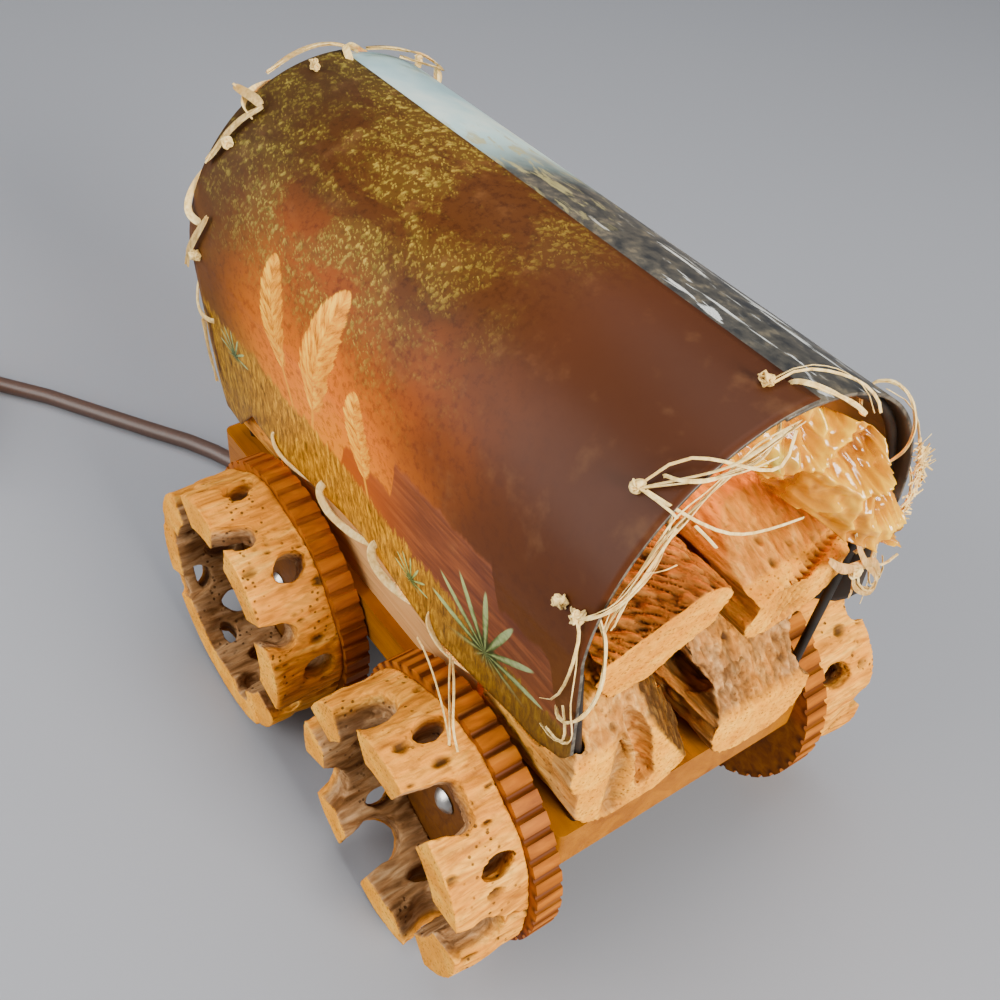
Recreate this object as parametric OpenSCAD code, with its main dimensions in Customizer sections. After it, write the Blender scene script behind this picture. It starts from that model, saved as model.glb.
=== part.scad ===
// Covered-wagon table lamp of cactus wood: a plank bed on four nailed-on wheels, cactus logs at both
// ends, and an arched sheet shade laced to two wire hoops over one small lamp.
// +X is the front of the wagon, -Y the near side, Z = 0 the table top.

/* [Wheels] */
// Distance between the front and rear axles
wheel_base = 88; // [84:1:96]
// Outer radius of the cactus log slices
slice_r = 37; // [34:0.5:38]
// Wall of the hollow slices
slice_wall = 11; // [8:0.5:13]
// Width of the slices along the axle
slice_w = 20.5; // [17:0.5:24]
// How far the lobes of the slices stand out
slice_lobe = 1.2; // [0.6:0.1:1.4]
// How far the wooden discs stand proud of the slices
disc_lip = 1.5; // [1.5:0.1:3]
// Thickness of the wooden discs behind the slices
disc_w = 7.5; // [5:0.5:9]
// Number of grooves round the rim of each disc
groove_count = 44; // [24:1:60]
// Depth of the rim grooves
groove_depth = 1; // [0.5:0.1:1.3]
// Gap between the bed and the turning discs
wheel_gap = 0.6; // [0.4:0.1:1.5]

/* [Axle nails] */
// Shank diameter of the axle nails
nail_d = 3; // [2:0.1:4]
// Head diameter of the axle nails
nail_head_d = 7.5; // [6:0.5:9]
// Height of the domed heads of the axle nails
nail_head_t = 2; // [1:0.1:2.5]
// Depth of the axle nails in the axle bars
nail_grip = 22; // [15:1:30]
// Radial play of the discs on the nails
nail_play = 0.06; // [0.03:0.01:0.1]
// Gap under the nail heads
head_gap = 0.4; // [0.3:0.1:1]

/* [Bed] */
// Front end of the plank from the middle of the object
plank_front = 82; // [80:0.5:86]
// Rear end of the plank from the middle of the object
plank_back = 89.5; // [88:0.5:96]
// Width of the plank
plank_w = 81; // [78:0.5:84]
// Thickness of the plank
plank_t = 12.7; // [10:0.1:16]
// Width of the axle bars
bar_w = 14; // [11:0.5:18]
// Height of the axle bars
bar_h = 15; // [12:0.5:18]
// Distance of the bed nails from the inner ends of the axle nails
bed_nail_back = 6; // [4:0.5:9]
// Shank diameter of the bed nails
bed_nail_d = 2.5; // [2:0.1:3]
// Head diameter of the bed nails
bed_nail_head_d = 6; // [4.5:0.5:7]
// Depth of the bed nails in the axle bars
bed_nail_grip = 10; // [6:0.5:11]

/* [Side boards] */
// Length of the side boards
board_l = 96; // [70:1:100]
// Thickness of the side boards
board_t = 5; // [3:0.5:6]
// Height of the side boards
board_h = 33; // [26:0.5:38]
// How far the side boards stand in from the plank's edges
board_inset = 3.5; // [3.5:0.25:5]

/* [End logs] */
// Height of the lower logs
lower_log_h = 40; // [36:0.5:42]
// Height of the upper near log
upper_near_h = 29; // [24:0.5:31]
// Height of the upper far log
upper_far_h = 27; // [22:0.5:30]
// How far the near logs stand in from the plank's edge
near_log_inset = 2; // [1.5:0.25:5]
// How far the far logs stand in from the plank's edge
far_log_inset = 6; // [4:0.25:9]
// Gap between the near and far logs
log_split = 3; // [2:0.5:6]
// Inner end of the front logs
front_log_start = 46; // [44:0.5:52]
// Front end of the lower near log
lower_log_end = 83.5; // [82:0.5:86]
// How far the lower far log ends ahead of the near one
far_log_ahead = 2; // [0:0.5:4]
// Front end of the upper front logs
upper_log_end = 86; // [83:0.5:89]
// Length of the rear logs
rear_log_l = 32; // [24:0.5:34]
// Corner rounding of the logs
log_round = 12; // [8:0.5:12.5]

/* [Shade] */
// Outer radius of the arched shade
shade_r = 45.6; // [45:0.1:47]
// Front rim of the shade from the middle of the object
shade_front = 83; // [80:0.5:84]
// Rear rim of the shade from the middle of the object
shade_back = 86; // [84:0.5:87]
// Thickness of the shade sheet
sheet_t = 0.8; // [0.5:0.1:1]
// Clearance between the two sheets at the lap
lap_gap = 0.1; // [0.05:0.05:0.3]
// Width of the lap at the crown
lap_w = 8; // [5:0.5:12]
// Height of the lower edges above the plank
shade_lift = 25; // [23:0.5:27]
// Height of the arch centre above the lower edges
side_h = 41; // [38:0.5:44]
// How far the lower edges draw in from the full width
side_in = 3.4; // [3:0.1:3.8]
// How far the rear corners hang below the lower edges
rear_dip = 14; // [6:0.5:15]
// How far the front corners are cut up
corner_rise = 14; // [8:0.5:18]

/* [Hoops and raffia] */
// Wire diameter of the hoops
wire_d = 2.4; // [2:0.1:2.6]
// Distance of the hoops from the rims
hoop_inset = 4; // [3.8:0.1:4.5]
// How far the feet of the hoops stand in from the plank's edges
leg_inset = 6.8; // [6:0.1:9]
// Depth of the hoop legs in the plank
hoop_grip = 8; // [5:0.5:10]
// Thickness of the raffia strands
raffia_d = 2; // [1.6:0.1:2.2]
// Diameter of the lace holes
lace_hole_d = 4; // [3.8:0.1:4.4]
// Stitches on each rim
rim_stitches = 6; // [4:1:7]
// Stitches on each lower edge
edge_stitches = 4; // [3:1:5]

/* [Lamp] */
// Place of the lamp along the bed
socket_x = -5; // [-8:0.5:2]
// Diameter of the socket
socket_d = 22; // [20:0.5:26]
// Height of the socket
socket_h = 34; // [31:0.5:36]
// Diameter of the socket's bore
socket_bore_d = 11.7; // [11:0.1:12]
// Radial play of the bulb's base in the socket
base_play = 0.06; // [0.03:0.01:0.1]
// Length of the bulb's metal base
base_l = 20; // [16:0.5:22]
// Largest diameter of the bulb's glass
bulb_d = 22.5; // [20:0.5:26]
// Height of the bulb's glass
bulb_h = 34; // [30:0.5:38]
// Wall of the bulb's glass
glass_t = 0.9; // [0.6:0.1:1.2]
// Height of the socket bracket
bracket_h = 12; // [12:0.5:15]
// Thickness of the bracket strap
bracket_t = 1.5; // [1:0.1:2]
// Stem diameter of the switch key
key_d = 4; // [3:0.1:5]
// Length of the switch key outside the socket
key_l = 15; // [12:0.5:18]

/* [Cord] */
// Diameter of the cord
cord_d = 6; // [5:0.1:6]
// Outer diameter of the bushing in the plank
bushing_d = 10; // [9:0.5:11]

/* [Hidden] */
$fn = 48;
eps = 0.02;
wheel_mid = 5;
axle_z = slice_r+disc_lip;
disc_r = slice_r+disc_lip;
disc_in = plank_w/2+wheel_gap;
disc_out = disc_in+disc_w;
axle_xs = [wheel_mid+wheel_base/2, wheel_mid-wheel_base/2];
plank_z = axle_z+bar_h/2;
plank_top = plank_z+plank_t;
plank_l = plank_front+plank_back;
bed_nail_head_t = 1.2;
bed_nail_y = plank_w/2-nail_grip-bed_nail_back;
board_mid = -5;
seat_gap = 0.15;

// Shade heights and radii: the near sheet laps over the far one
edge_z = plank_top+shade_lift;
arch_z = edge_z+side_h;
lap_step = sheet_t+lap_gap;
side_tuck = 0.25;
low_z = edge_z-rear_dip;
far_r = shade_r-lap_step;
hoop_r = far_r-sheet_t-seat_gap-wire_d/2;
crown_z = arch_z+shade_r;
seam_y = 2;
spare = 5;
dip_len = 10;
dip_slope = 14;
rise_len = 13;
rise_nose = 3;

// Half-width of an arch of radius r at a height below its centre
function half_width(r, z) = let (foot = r-side_in) foot+(z-edge_z)*(r-side_tuck-foot)/side_h;

// Hoops: the legs go on from the ends of the arch to their feet in the plank
hoop_turn = 14;
foot_y = plank_w/2-leg_inset;
turn_y = hoop_r*cos(hoop_turn);
turn_z = arch_z-hoop_r*sin(hoop_turn);
function hoop_half(z) = foot_y+(z-plank_top)*(turn_y-foot_y)/(turn_z-plank_top);

// Raffia: each strand winds round an edge as an oval, through one hole a stitch
strand_gap = 0.8;
rim_gap = 1.4;
lace_gap = 0.35;
rim_start_z = edge_z+corner_rise+7;
rim_out = sheet_t/2+raffia_d/2+strand_gap;
rim_in = half_width(shade_r, rim_start_z)-sheet_t/2-hoop_half(rim_start_z)+wire_d/2+raffia_d/2+lace_gap;
rim_reach = hoop_inset+wire_d/2+raffia_d/2+strand_gap;
rim_past = raffia_d/2+rim_gap;
edge_in = sheet_t/2+raffia_d/2+strand_gap;
edge_reach = 5;
strand_sides = 6;
rings_per_stitch = 16;

// The side boards and the logs stand on the plank and inside the shade and its lacing
board_gap = 0.4;
log_room = 3;
board_out = min(plank_w/2-board_inset, half_width(far_r, edge_z-rim_past-raffia_d/2)
    -sheet_t/2-edge_in-raffia_d/2-board_gap);
shade_room = half_width(far_r-sheet_t, edge_z+corner_rise)-log_room;
near_out = min(plank_w/2-near_log_inset, shade_room);
far_out = min(plank_w/2-far_log_inset, shade_room);

// Lamp heights
bracket_top = plank_top+bracket_h;
socket_top = bracket_top+socket_h;
nipple_d = 9.5;
nut_w = 14;
nut_h = 4;
bracket_w = 14;
bracket_foot = 9;
bracket_half = 15;
screw_d = 3;
screw_head_d = 6;
screw_head_t = 2;
screw_grip = 8;
bulb_gap = 0.5;
key_depth = 3;
key_play = 0.06;
key_end_gap = 0.4;
key_z = bracket_top+socket_h*0.35;

// Cord: the route is laid by hand, from the bushing down to the table and off to the left
exit_z = 30;
cord_gap = 0.05;
cord_route = [
    [-5, 0, 30], [-5, 0, 28], [-5.9, 0, 21.5], [-8.4, 0, 15.5], [-12.4, 0, 10.4], [-17.6, 0, 6.5],
    [-23.6, 0, 4], [-30, 0, 3.1], [-43, -0.8, 3.1], [-57, -2, 3.1], [-73, -4.5, 3.1], [-89, -7.8, 3.1],
    [-104, -11.5, 3.1], [-119, -15.8, 3.1], [-133, -20.5, 3.1], [-142, -24.3, 3.1], [-152, -29.8, 3.1],
    [-166, -39.4, 3.1], [-185, -52, 3.1], [-204, -64.5, 3.1], [-220, -77.2, 3.1], [-235, -88.9, 3.7],
    [-244.5, -96.6, 4.2], [-249, -100.65, 4.2]];
coil_mid = [-222, -139.6];
coil_out_r = 47;
coil_pitch = 6.6;
coil_start = 132;
coil_turns = 6.385;
coil_z = 4.2;
coil_rings = 24;
coil_climb = 0.25;
tail_l = 38;
tail_drop = 1.4;
plug_z = 6;
tie_angle = 30;
tie_w = 5;
tie_t = 1;
plug_l = 30;
plug_w = 22;
plug_t = 12;
blade_l = 17;
blade_w = 6.5;
blade_t = 1.5;
blade_gap = 12.7;

// A smooth step from 0 to 1
function ease(k) = k*k*(3-2*k);
function rise(k) = ease(min(max(k, 0), 1));

// A straight round rod between two points
module rod(p, q, d) {
    v = q-p;
    translate(p)
        rotate([0, acos(v.z/norm(v)), atan2(v.y, v.x)])
            cylinder(d=d, h=norm(v));
}

// A flat outline drawn in Y and Z, pulled along X between two places
module along_x(from, to) {
    translate([from, 0, 0])
        rotate([90, 0, 90])
            linear_extrude(to-from)
                children();
}

// A flat outline drawn in X and Z, pulled right across the object
module across_y(half) {
    rotate([90, 0, 0])
        linear_extrude(2*half, center=true)
            children();
}

// A rectangle with round corners, centred in x, standing on its base line
module round_block(w, h, r) {
    translate([-w/2+r, 0]) square([w-2*r, h]);
    translate([-w/2, r]) square([w, h-2*r]);
    for (x = [-w/2+r, w/2-r], y = [r, h-r])
        translate([x, y]) circle(r);
}

// A pointed oval, long way along x
module lens(len, wid) {
    r = (len*len+wid*wid)/(4*wid);
    intersection() {
        translate([0, r-wid/2]) circle(r);
        translate([0, wid/2-r]) circle(r);
    }
}

// Tube through a list of points, its rings carried along without twist
function unit(v) = v/norm(v);
function heading(p, i) = unit(p[min(i+1, len(p)-1)]-p[max(i-1, 0)]);
function square_to(n, t) = unit(n-(n*t)*t);
function side_vectors(p, first) =
    [for (i = 0, n = square_to(first, heading(p, 0)); i < len(p);
          i = i+1, n = i < len(p) ? square_to(n, heading(p, i)) : n) n];
function tube_points(p, r, sides, first) =
    let (ns = side_vectors(p, first))
    [for (i = [0:len(p)-1], k = [0:sides-1])
        let (b = cross(heading(p, i), ns[i]), a = 360*k/sides)
        p[i]+r*(cos(a)*ns[i]+sin(a)*b)];
function tube_faces(n, sides) = concat(
    [for (i = [0:n-2], k = [0:sides-1], half = [0, 1])
        let (a = i*sides+k, b = i*sides+(k+1)%sides)
        half == 0 ? [a, a+sides, b] : [b, a+sides, b+sides]],
    [for (k = [1:sides-2]) [0, k, k+1]],
    [for (k = [1:sides-2]) [(n-1)*sides, (n-1)*sides+k+1, (n-1)*sides+k]]);
module tube(p, r, sides, first) {
    polyhedron(tube_points(p, r, sides, first), tube_faces(len(p), sides), convexity=8);
}

// Wheels
module on_wheel(front, near) {
    translate([axle_xs[front ? 0 : 1], 0, axle_z])
        mirror([0, near ? 1 : 0, 0])
            children();
}

// An open slot reaching back from the sawn face, a little wider at its round end
module slot(deep, wid) {
    mouth = wid*0.88;
    translate([wid/2-deep, 0]) circle(d=wid);
    translate([wid/2-deep, -mouth/2]) square([deep+wid, mouth]);
}

// Turn of a slice's slots round the axle: the wood has grown unevenly
function grown(i, count, uneven, lag) = 360*i/count+uneven*(cos(360*i/count-lag)-1);

// A hollow slice of cactus log: open slots at the sawn face, closed holes nearer the disc
module cholla_slice(count, slot_deep, slot_wid, hole_len, hole_wid, tilt, phase, uneven, shallow=[]) {
    lobe_r = slice_r*0.6;
    inner_r = slice_r-slice_wall;
    hole_y = slice_w*0.34;
    slots = [for (i = [0:count]) phase+grown(i, count, uneven, 31)];
    lobes = [for (i = [0:count-1]) (slots[i]+slots[i+1])/2];
    color("peru")
        translate([0, disc_out, 0])
            difference() {
                rotate([-90, 0, 0])
                    linear_extrude(slice_w)
                        difference() {
                            union() {
                                circle(slice_r-slice_lobe);
                                for (a = lobes)
                                    rotate(-a) translate([slice_r-lobe_r, 0]) circle(lobe_r);
                            }
                            circle(inner_r);
                        }
                for (i = [0:count-1]) {
                    wid = slot_wid*(1+0.14*sin(137*i));
                    deep = slot_deep*(1+0.1*cos(200*i))*(len(search(i, shallow)) > 0 ? 0.42 : 1);
                    rotate([0, -slots[i], 0])
                        translate([inner_r/2, slice_w, 0])
                            rotate([90, 0, 90])
                                linear_extrude(slice_r)
                                    rotate(tilt) slot(deep, wid);
                    rotate([0, -lobes[i], 0])
                        translate([inner_r/2, hole_y, 0])
                            rotate([90, 0, 90])
                                linear_extrude(slice_r)
                                    rotate(-tilt) lens(hole_len, hole_wid);
                }
            }
}

// Wide open slices and closer grown ones
module open_slice(phase, shallow=[]) {
    cholla_slice(count=7, slot_deep=slice_w*0.7, slot_wid=slice_w*0.62, hole_len=slice_w*0.46,
                 hole_wid=slice_w*0.28, tilt=12, phase=phase, uneven=12, shallow=shallow);
}
module close_slice(phase, shallow=[]) {
    cholla_slice(count=8, slot_deep=slice_w*0.44, slot_wid=slice_w*0.38, hole_len=slice_w*0.5,
                 hole_wid=slice_w*0.36, tilt=20, phase=phase, uneven=6, shallow=shallow);
}

module wheel_slice_front_near() { on_wheel(true, true) open_slice(65, [3]); }
module wheel_slice_front_far() { on_wheel(true, false) close_slice(51, [0, 7]); }
module wheel_slice_rear_near() { on_wheel(false, true) close_slice(80); }
module wheel_slice_rear_far() { on_wheel(false, false) open_slice(31); }

// A wooden disc with a grooved rim, bored for the axle nail
module wheel_disc() {
    groove_r = groove_depth;
    color("saddlebrown")
        translate([0, disc_in, 0])
            rotate([-90, 0, 0])
                linear_extrude(disc_w)
                    difference() {
                        circle(disc_r);
                        circle(d=nail_d+2*nail_play);
                        for (i = [0:groove_count-1])
                            rotate(360*(i+0.5)/groove_count)
                                translate([0, -disc_r-groove_r+groove_depth]) circle(groove_r);
                    }
}
module wheel_disc_front_near() { on_wheel(true, true) wheel_disc(); }
module wheel_disc_front_far() { on_wheel(true, false) wheel_disc(); }
module wheel_disc_rear_near() { on_wheel(false, true) wheel_disc(); }
module wheel_disc_rear_far() { on_wheel(false, false) wheel_disc(); }

// A nail's domed head
module nail_head(d, t) {
    dome_r = (d*d/4+t*t)/(2*t);
    rotate_extrude()
        intersection() {
            translate([0, t-dome_r]) circle(dome_r);
            square([d/2, t]);
        }
}

module axle_nails() {
    color("silver")
        for (front = [true, false], near = [true, false])
            on_wheel(front, near)
                rotate([-90, 0, 0]) {
                    translate([0, 0, plank_w/2-nail_grip])
                        cylinder(d=nail_d, h=nail_grip+wheel_gap+disc_w+head_gap+nail_head_t/2);
                    translate([0, 0, disc_out+head_gap])
                        nail_head(nail_head_d, nail_head_t);
                }
}

// Bed
module bed_nail_places() {
    for (x = axle_xs, y = [-bed_nail_y, bed_nail_y])
        translate([x, y, 0]) children();
}

module bed_nails() {
    color("dimgray")
        bed_nail_places() {
            translate([0, 0, plank_z-bed_nail_grip])
                cylinder(d=bed_nail_d, h=bed_nail_grip+plank_t-bed_nail_head_t/2);
            translate([0, 0, plank_top-bed_nail_head_t])
                cylinder(d=bed_nail_head_d, h=bed_nail_head_t);
        }
}

module axle_bar(x) {
    color("sienna")
        difference() {
            translate([x-bar_w/2, -plank_w/2, axle_z-bar_h/2]) cube([bar_w, plank_w, bar_h]);
            for (side = [-1, 1])
                translate([x, side*(plank_w/2-nail_grip), axle_z])
                    rotate([-90*side, 0, 0]) cylinder(d=nail_d, h=nail_grip+1);
            bed_nail_places()
                translate([0, 0, plank_z-bed_nail_grip]) cylinder(d=bed_nail_d, h=bed_nail_grip+1);
        }
}
module front_axle_bar() { axle_bar(axle_xs[0]); }
module rear_axle_bar() { axle_bar(axle_xs[1]); }

module screw_places() {
    for (side = [-1, 1])
        translate([socket_x+side*(bracket_half+bracket_foot/2), 0, 0]) children();
}

module base_plank() {
    edge_round = 2.5;
    color("goldenrod")
        difference() {
            translate([(plank_front-plank_back)/2, -plank_w/2, plank_z])
                linear_extrude(plank_t)
                    round_block(plank_l, plank_w, edge_round);
            translate([socket_x, 0, plank_z-1]) cylinder(d=bushing_d, h=plank_t+2);
            bed_nail_places() {
                translate([0, 0, plank_z-1]) cylinder(d=bed_nail_d, h=plank_t+2);
                translate([0, 0, plank_top-bed_nail_head_t])
                    cylinder(d=bed_nail_head_d, h=bed_nail_head_t+1);
            }
            screw_places()
                translate([0, 0, plank_top-screw_grip]) cylinder(d=screw_d, h=screw_grip+1);
            for (x = hoop_xs, side = [-1, 1])
                hoop_leg(x, side, wire_d, plank_top+1);
        }
}

module side_board(near) {
    color("burlywood")
        mirror([0, near ? 1 : 0, 0])
            translate([board_mid, board_out-board_t/2, plank_top])
                rotate([90, 0, 0])
                    linear_extrude(board_t, center=true)
                        round_block(board_l, board_h, 4);
}
module side_board_near() { side_board(true); }
module side_board_far() { side_board(false); }

// End logs: lengthwise pieces of cactus wood with flats where they stack
near_log_w = near_out-log_split/2;
far_log_w = far_out-log_split/2;
near_log_y = -(near_out+log_split/2)/2;
far_log_y = (far_out+log_split/2)/2;
upper_z = plank_top+lower_log_h;
log_eye_len = 17;
log_eye_wid = 9;

module log(from, to, mid_y, base, w, h, grooved=[-1, 1]) {
    along_x(from, to)
        translate([mid_y, base])
            difference() {
                round_block(w, h, log_round);
                for (side = grooved)
                    translate([side*(w/2+h*0.12), h*0.52]) circle(h*0.2);
            }
}
module log_eye(x, mid_y, z, len, wid) {
    translate([x, mid_y, z])
        rotate([90, 0, 0])
            linear_extrude(2*near_log_w, center=true)
                rotate(14) lens(len, wid);
}
// What is cut off a lower log so that its front slopes down
module front_slope(end, run, fall) {
    across_y(plank_w)
        polygon([[end-run, upper_z], [end, upper_z-fall], [end+spare, upper_z-fall], [end+spare, upper_z+spare],
                 [end-run, upper_z+spare]]);
}

module front_log_lower_near() {
    knuckle_r = 9;
    knuckle_l = 8;
    valley_r = 5.5;
    crease_deep = 6;
    crease_w = 5;
    crease_lean = 14;
    color("burlywood")
        difference() {
            union() {
                log(front_log_start, lower_log_end, near_log_y, plank_top, near_log_w, lower_log_h, [1]);
                along_x(lower_log_end-knuckle_l, lower_log_end)
                    translate([knuckle_r/2+1-near_out, plank_top+lower_log_h*0.63]) circle(knuckle_r);
            }
            log_eye(front_log_start+18, near_log_y, plank_top+lower_log_h*0.55, log_eye_len, log_eye_wid);
            along_x(front_log_start-1, lower_log_end+1)
                translate([-log_split/2-log_round, upper_z]) circle(valley_r);
            front_slope(lower_log_end, 10, 12);
            translate([lower_log_end, near_log_y, plank_top+lower_log_h/2])
                rotate([crease_lean, 0, 0])
                    linear_extrude(lower_log_h*0.7, center=true) lens(2*crease_deep, crease_w);
            leg_channel(hoop_xs[0], -1);
        }
}
module front_log_lower_far() {
    end = lower_log_end+far_log_ahead;
    color("rosybrown")
        difference() {
            log(front_log_start, end, far_log_y, plank_top, far_log_w, lower_log_h);
            log_eye(front_log_start+24, far_log_y, plank_top+lower_log_h*0.5, log_eye_len, log_eye_wid);
            front_slope(end, 22, 25);
            leg_channel(hoop_xs[0], 1);
        }
}
// The upper near log leans: its top falls to the near side and its underside rises to both sides
module front_log_upper_near() {
    lean_top = 6;
    lift = 0.5;
    heel_w = 9;
    heel_h = 15;
    color("chocolate")
        difference() {
            log(front_log_start, upper_log_end, near_log_y, upper_z, near_log_w, upper_near_h);
            log_eye(front_log_start+20, near_log_y, upper_z+upper_near_h*0.45, log_eye_len, log_eye_wid);
            along_x(front_log_start-1, upper_log_end+1) {
                polygon([[-near_out-1, upper_z+upper_near_h*0.6], [near_log_y+lean_top, upper_z+upper_near_h],
                         [near_log_y+lean_top, upper_z+upper_near_h+1], [-near_out-1, upper_z+upper_near_h+1]]);
                polygon([[near_log_y+2, upper_z], [0, upper_z+upper_near_h*lift], [0, upper_z-1],
                         [near_log_y+2, upper_z-1]]);
                polygon([[-near_out-1, upper_z-1], [heel_w-near_out, upper_z-1], [heel_w-near_out, upper_z],
                         [-near_out-1, upper_z+heel_h]]);
            }
            leg_channel(hoop_xs[0], -1);
        }
}
module front_log_upper_far() {
    split_l = 24;
    split_w = 5;
    split_deep = 7;
    color("sandybrown")
        difference() {
            log(front_log_start, upper_log_end, far_log_y, upper_z, far_log_w, upper_far_h);
            log_eye(front_log_start+16, far_log_y, upper_z+upper_far_h*0.45, log_eye_len, log_eye_wid);
            along_x(upper_log_end-split_deep, upper_log_end+1)
                translate([far_log_y+2, upper_z+upper_far_h*0.52]) rotate(58) lens(split_l, split_w);
        }
}
module rear_log(near) {
    y = near ? near_log_y : far_log_y;
    w = near ? near_log_w : far_log_w;
    from = -shade_back-1;
    color("burlywood")
        difference() {
            log(from, from+rear_log_l, y, plank_top, w, lower_log_h);
            log_eye(from+rear_log_l*0.6, y, plank_top+lower_log_h*0.5, log_eye_len*0.8, log_eye_wid);
            leg_channel(hoop_xs[1], near ? -1 : 1);
        }
}
module rear_log_near() { rear_log(true); }
module rear_log_far() { rear_log(false); }

// Shade: an arch with straight sides that draw in towards the lower edges
module arch_outline(r, floor) {
    translate([0, arch_z]) circle(r, $fn=96);
    polygon([[-half_width(r, floor), floor], [half_width(r, floor), floor],
             [r-side_tuck, arch_z], [-r+side_tuck, arch_z]]);
}
module sheet_arch(r) {
    along_x(-shade_back, shade_front)
        difference() {
            arch_outline(r, low_z-1);
            arch_outline(r-sheet_t, low_z-2);
        }
}
// Side view of the sheets: rear corners hang lower, front corners are cut up
module sheet_trim() {
    across_y(2*shade_r)
        polygon([[-shade_back-1, low_z], [-shade_back+dip_len, low_z], [-shade_back+dip_len+dip_slope, edge_z],
                 [shade_front-rise_len, edge_z], [shade_front-rise_nose, edge_z+corner_rise*0.45],
                 [shade_front+1, edge_z+corner_rise], [shade_front+1, crown_z+1], [-shade_back-1, crown_z+1]]);
}
module shade_half(r, from_y, to_y) {
    intersection() {
        sheet_arch(r);
        sheet_trim();
        translate([-shade_back-spare, from_y, low_z-spare])
            cube([shade_back+shade_front+2*spare, to_y-from_y, crown_z-low_z+2*spare]);
    }
}
module shade_near_panel() {
    color("sienna")
        difference() {
            shade_half(shade_r, -2*shade_r, seam_y);
            rim_holes(0);
            edge_holes(-1, shade_r);
        }
}
module shade_far_panel() {
    color("lightsteelblue")
        difference() {
            shade_half(far_r, seam_y-lap_w, 2*shade_r);
            rim_holes(-lap_step);
            edge_holes(1, far_r);
        }
}

// Hoops: a wire arch inside each rim, its two legs set in the plank
hoop_xs = [shade_front-hoop_inset, -shade_back+hoop_inset];
leg_gap = 0.25;
module hoop_leg(x, side, d, top) {
    foot = plank_top-hoop_grip;
    rod([x, side*hoop_half(foot), foot], [x, side*hoop_half(top), top], d);
}
module leg_channel(x, side) {
    hoop_leg(x, side, wire_d+2*leg_gap, arch_z);
}
module hoop(x) {
    color("gray") {
        translate([x, 0, arch_z])
            rotate([90, 0, 90])
                rotate(-hoop_turn)
                    rotate_extrude(angle=180+2*hoop_turn)
                        translate([hoop_r, 0]) circle(d=wire_d);
        for (side = [-1, 1])
            hoop_leg(x, side, wire_d, turn_z+2);
    }
}
module front_hoop() { hoop(hoop_xs[0]); }
module rear_hoop() { hoop(hoop_xs[1]); }

// Raffia: arc length along the sheet from the near side over the crown to the far side
mid_r = shade_r-sheet_t/2;
side_run = arch_z-rim_start_z;
rim_run = 2*side_run+PI*mid_r;
function rim_angle(s) = 180-(s-side_run)/mid_r*180/PI;
function rim_place(s) =
    s < side_run ? [-half_width(shade_r, rim_start_z+s)+sheet_t/2, rim_start_z+s] :
    s > rim_run-side_run ? [half_width(shade_r, rim_start_z+rim_run-s)-sheet_t/2, rim_start_z+rim_run-s] :
    [mid_r*cos(rim_angle(s)), arch_z+mid_r*sin(rim_angle(s))];
function rim_normal(s) =
    s < side_run ? [-1, 0] :
    s > rim_run-side_run ? [1, 0] :
    [cos(rim_angle(s)), sin(rim_angle(s))];

// One turn per stitch: the strand stands still where it goes through its hole
function oval_mid(most, least) = (most-least)/2;
function oval_half(most, least) = (most+least)/2;
function hole_angle(level, out, inn) = asin((level-oval_mid(out, inn))/oval_half(out, inn));
function advance(angle, hold) = angle/360-sin(angle-hold)/(2*PI)-sin(hold)/(2*PI);
function strand(angle, out, inn, reach, past) =
    [oval_mid(reach, past)+oval_half(reach, past)*cos(angle),
     oval_mid(out, inn)+oval_half(out, inn)*sin(angle)];

rim_pitch = rim_run/rim_stitches;
rim_hold = hole_angle(0, rim_out, rim_in);
rim_lead = 0.02;
function rim_point(angle, front) =
    let (s = rim_pitch*(advance(angle, rim_hold)+rim_lead), c = strand(angle, rim_out, rim_in, rim_reach, rim_past),
         p = rim_place(s), n = rim_normal(s))
    [front ? shade_front-c[0] : -shade_back+c[0], p[0]+c[1]*n[0], p[1]+c[1]*n[1]];
module rim_lacing(front) {
    steps = rim_stitches*rings_per_stitch-rings_per_stitch/4;
    color("cornsilk")
        tube([for (i = [0:steps]) rim_point(rim_hold-40+360*i/rings_per_stitch, front)],
             raffia_d/2, strand_sides, [1, 0.2, 0.3]);
}
module raffia_front_rim() { rim_lacing(true); }
module raffia_rear_rim() { rim_lacing(false); }
module rim_holes(level) {
    turn = hole_angle(level, rim_out, rim_in);
    for (front = [true, false], k = [0:rim_stitches-1]) {
        s = rim_pitch*(advance(turn+360*k, rim_hold)+rim_lead);
        p = rim_point(turn+360*k, front);
        n = rim_normal(s);
        rod([p.x, p.y-2*n[0], p.z-2*n[1]], [p.x, p.y+2*n[0], p.z+2*n[1]], lace_hole_d);
    }
}

edge_from = -48;
edge_to = 56;
edge_pitch = (edge_to-edge_from)/edge_stitches;
edge_hold = hole_angle(0, rim_out, edge_in);
function edge_point(angle, side, r) =
    let (c = strand(angle, rim_out, edge_in, edge_reach, rim_past), z = edge_z+c[0])
    [edge_from+edge_pitch*advance(angle, edge_hold), side*(half_width(r, z)-sheet_t/2+c[1]), z];
module edge_lacing(side, r) {
    steps = edge_stitches*rings_per_stitch;
    color("cornsilk")
        tube([for (i = [0:steps]) edge_point(edge_hold-40+360*i/rings_per_stitch, side, r)],
             raffia_d/2, strand_sides, [0.2, 1, 0.3]);
}
module raffia_near_edge() { edge_lacing(-1, shade_r); }
module raffia_far_edge() { edge_lacing(1, far_r); }
module edge_holes(side, r) {
    for (k = [0:edge_stitches]) {
        p = edge_point(edge_hold+360*k, side, r);
        rod(p-[0, 2, 0], p+[0, 2, 0], lace_hole_d);
    }
}

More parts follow.
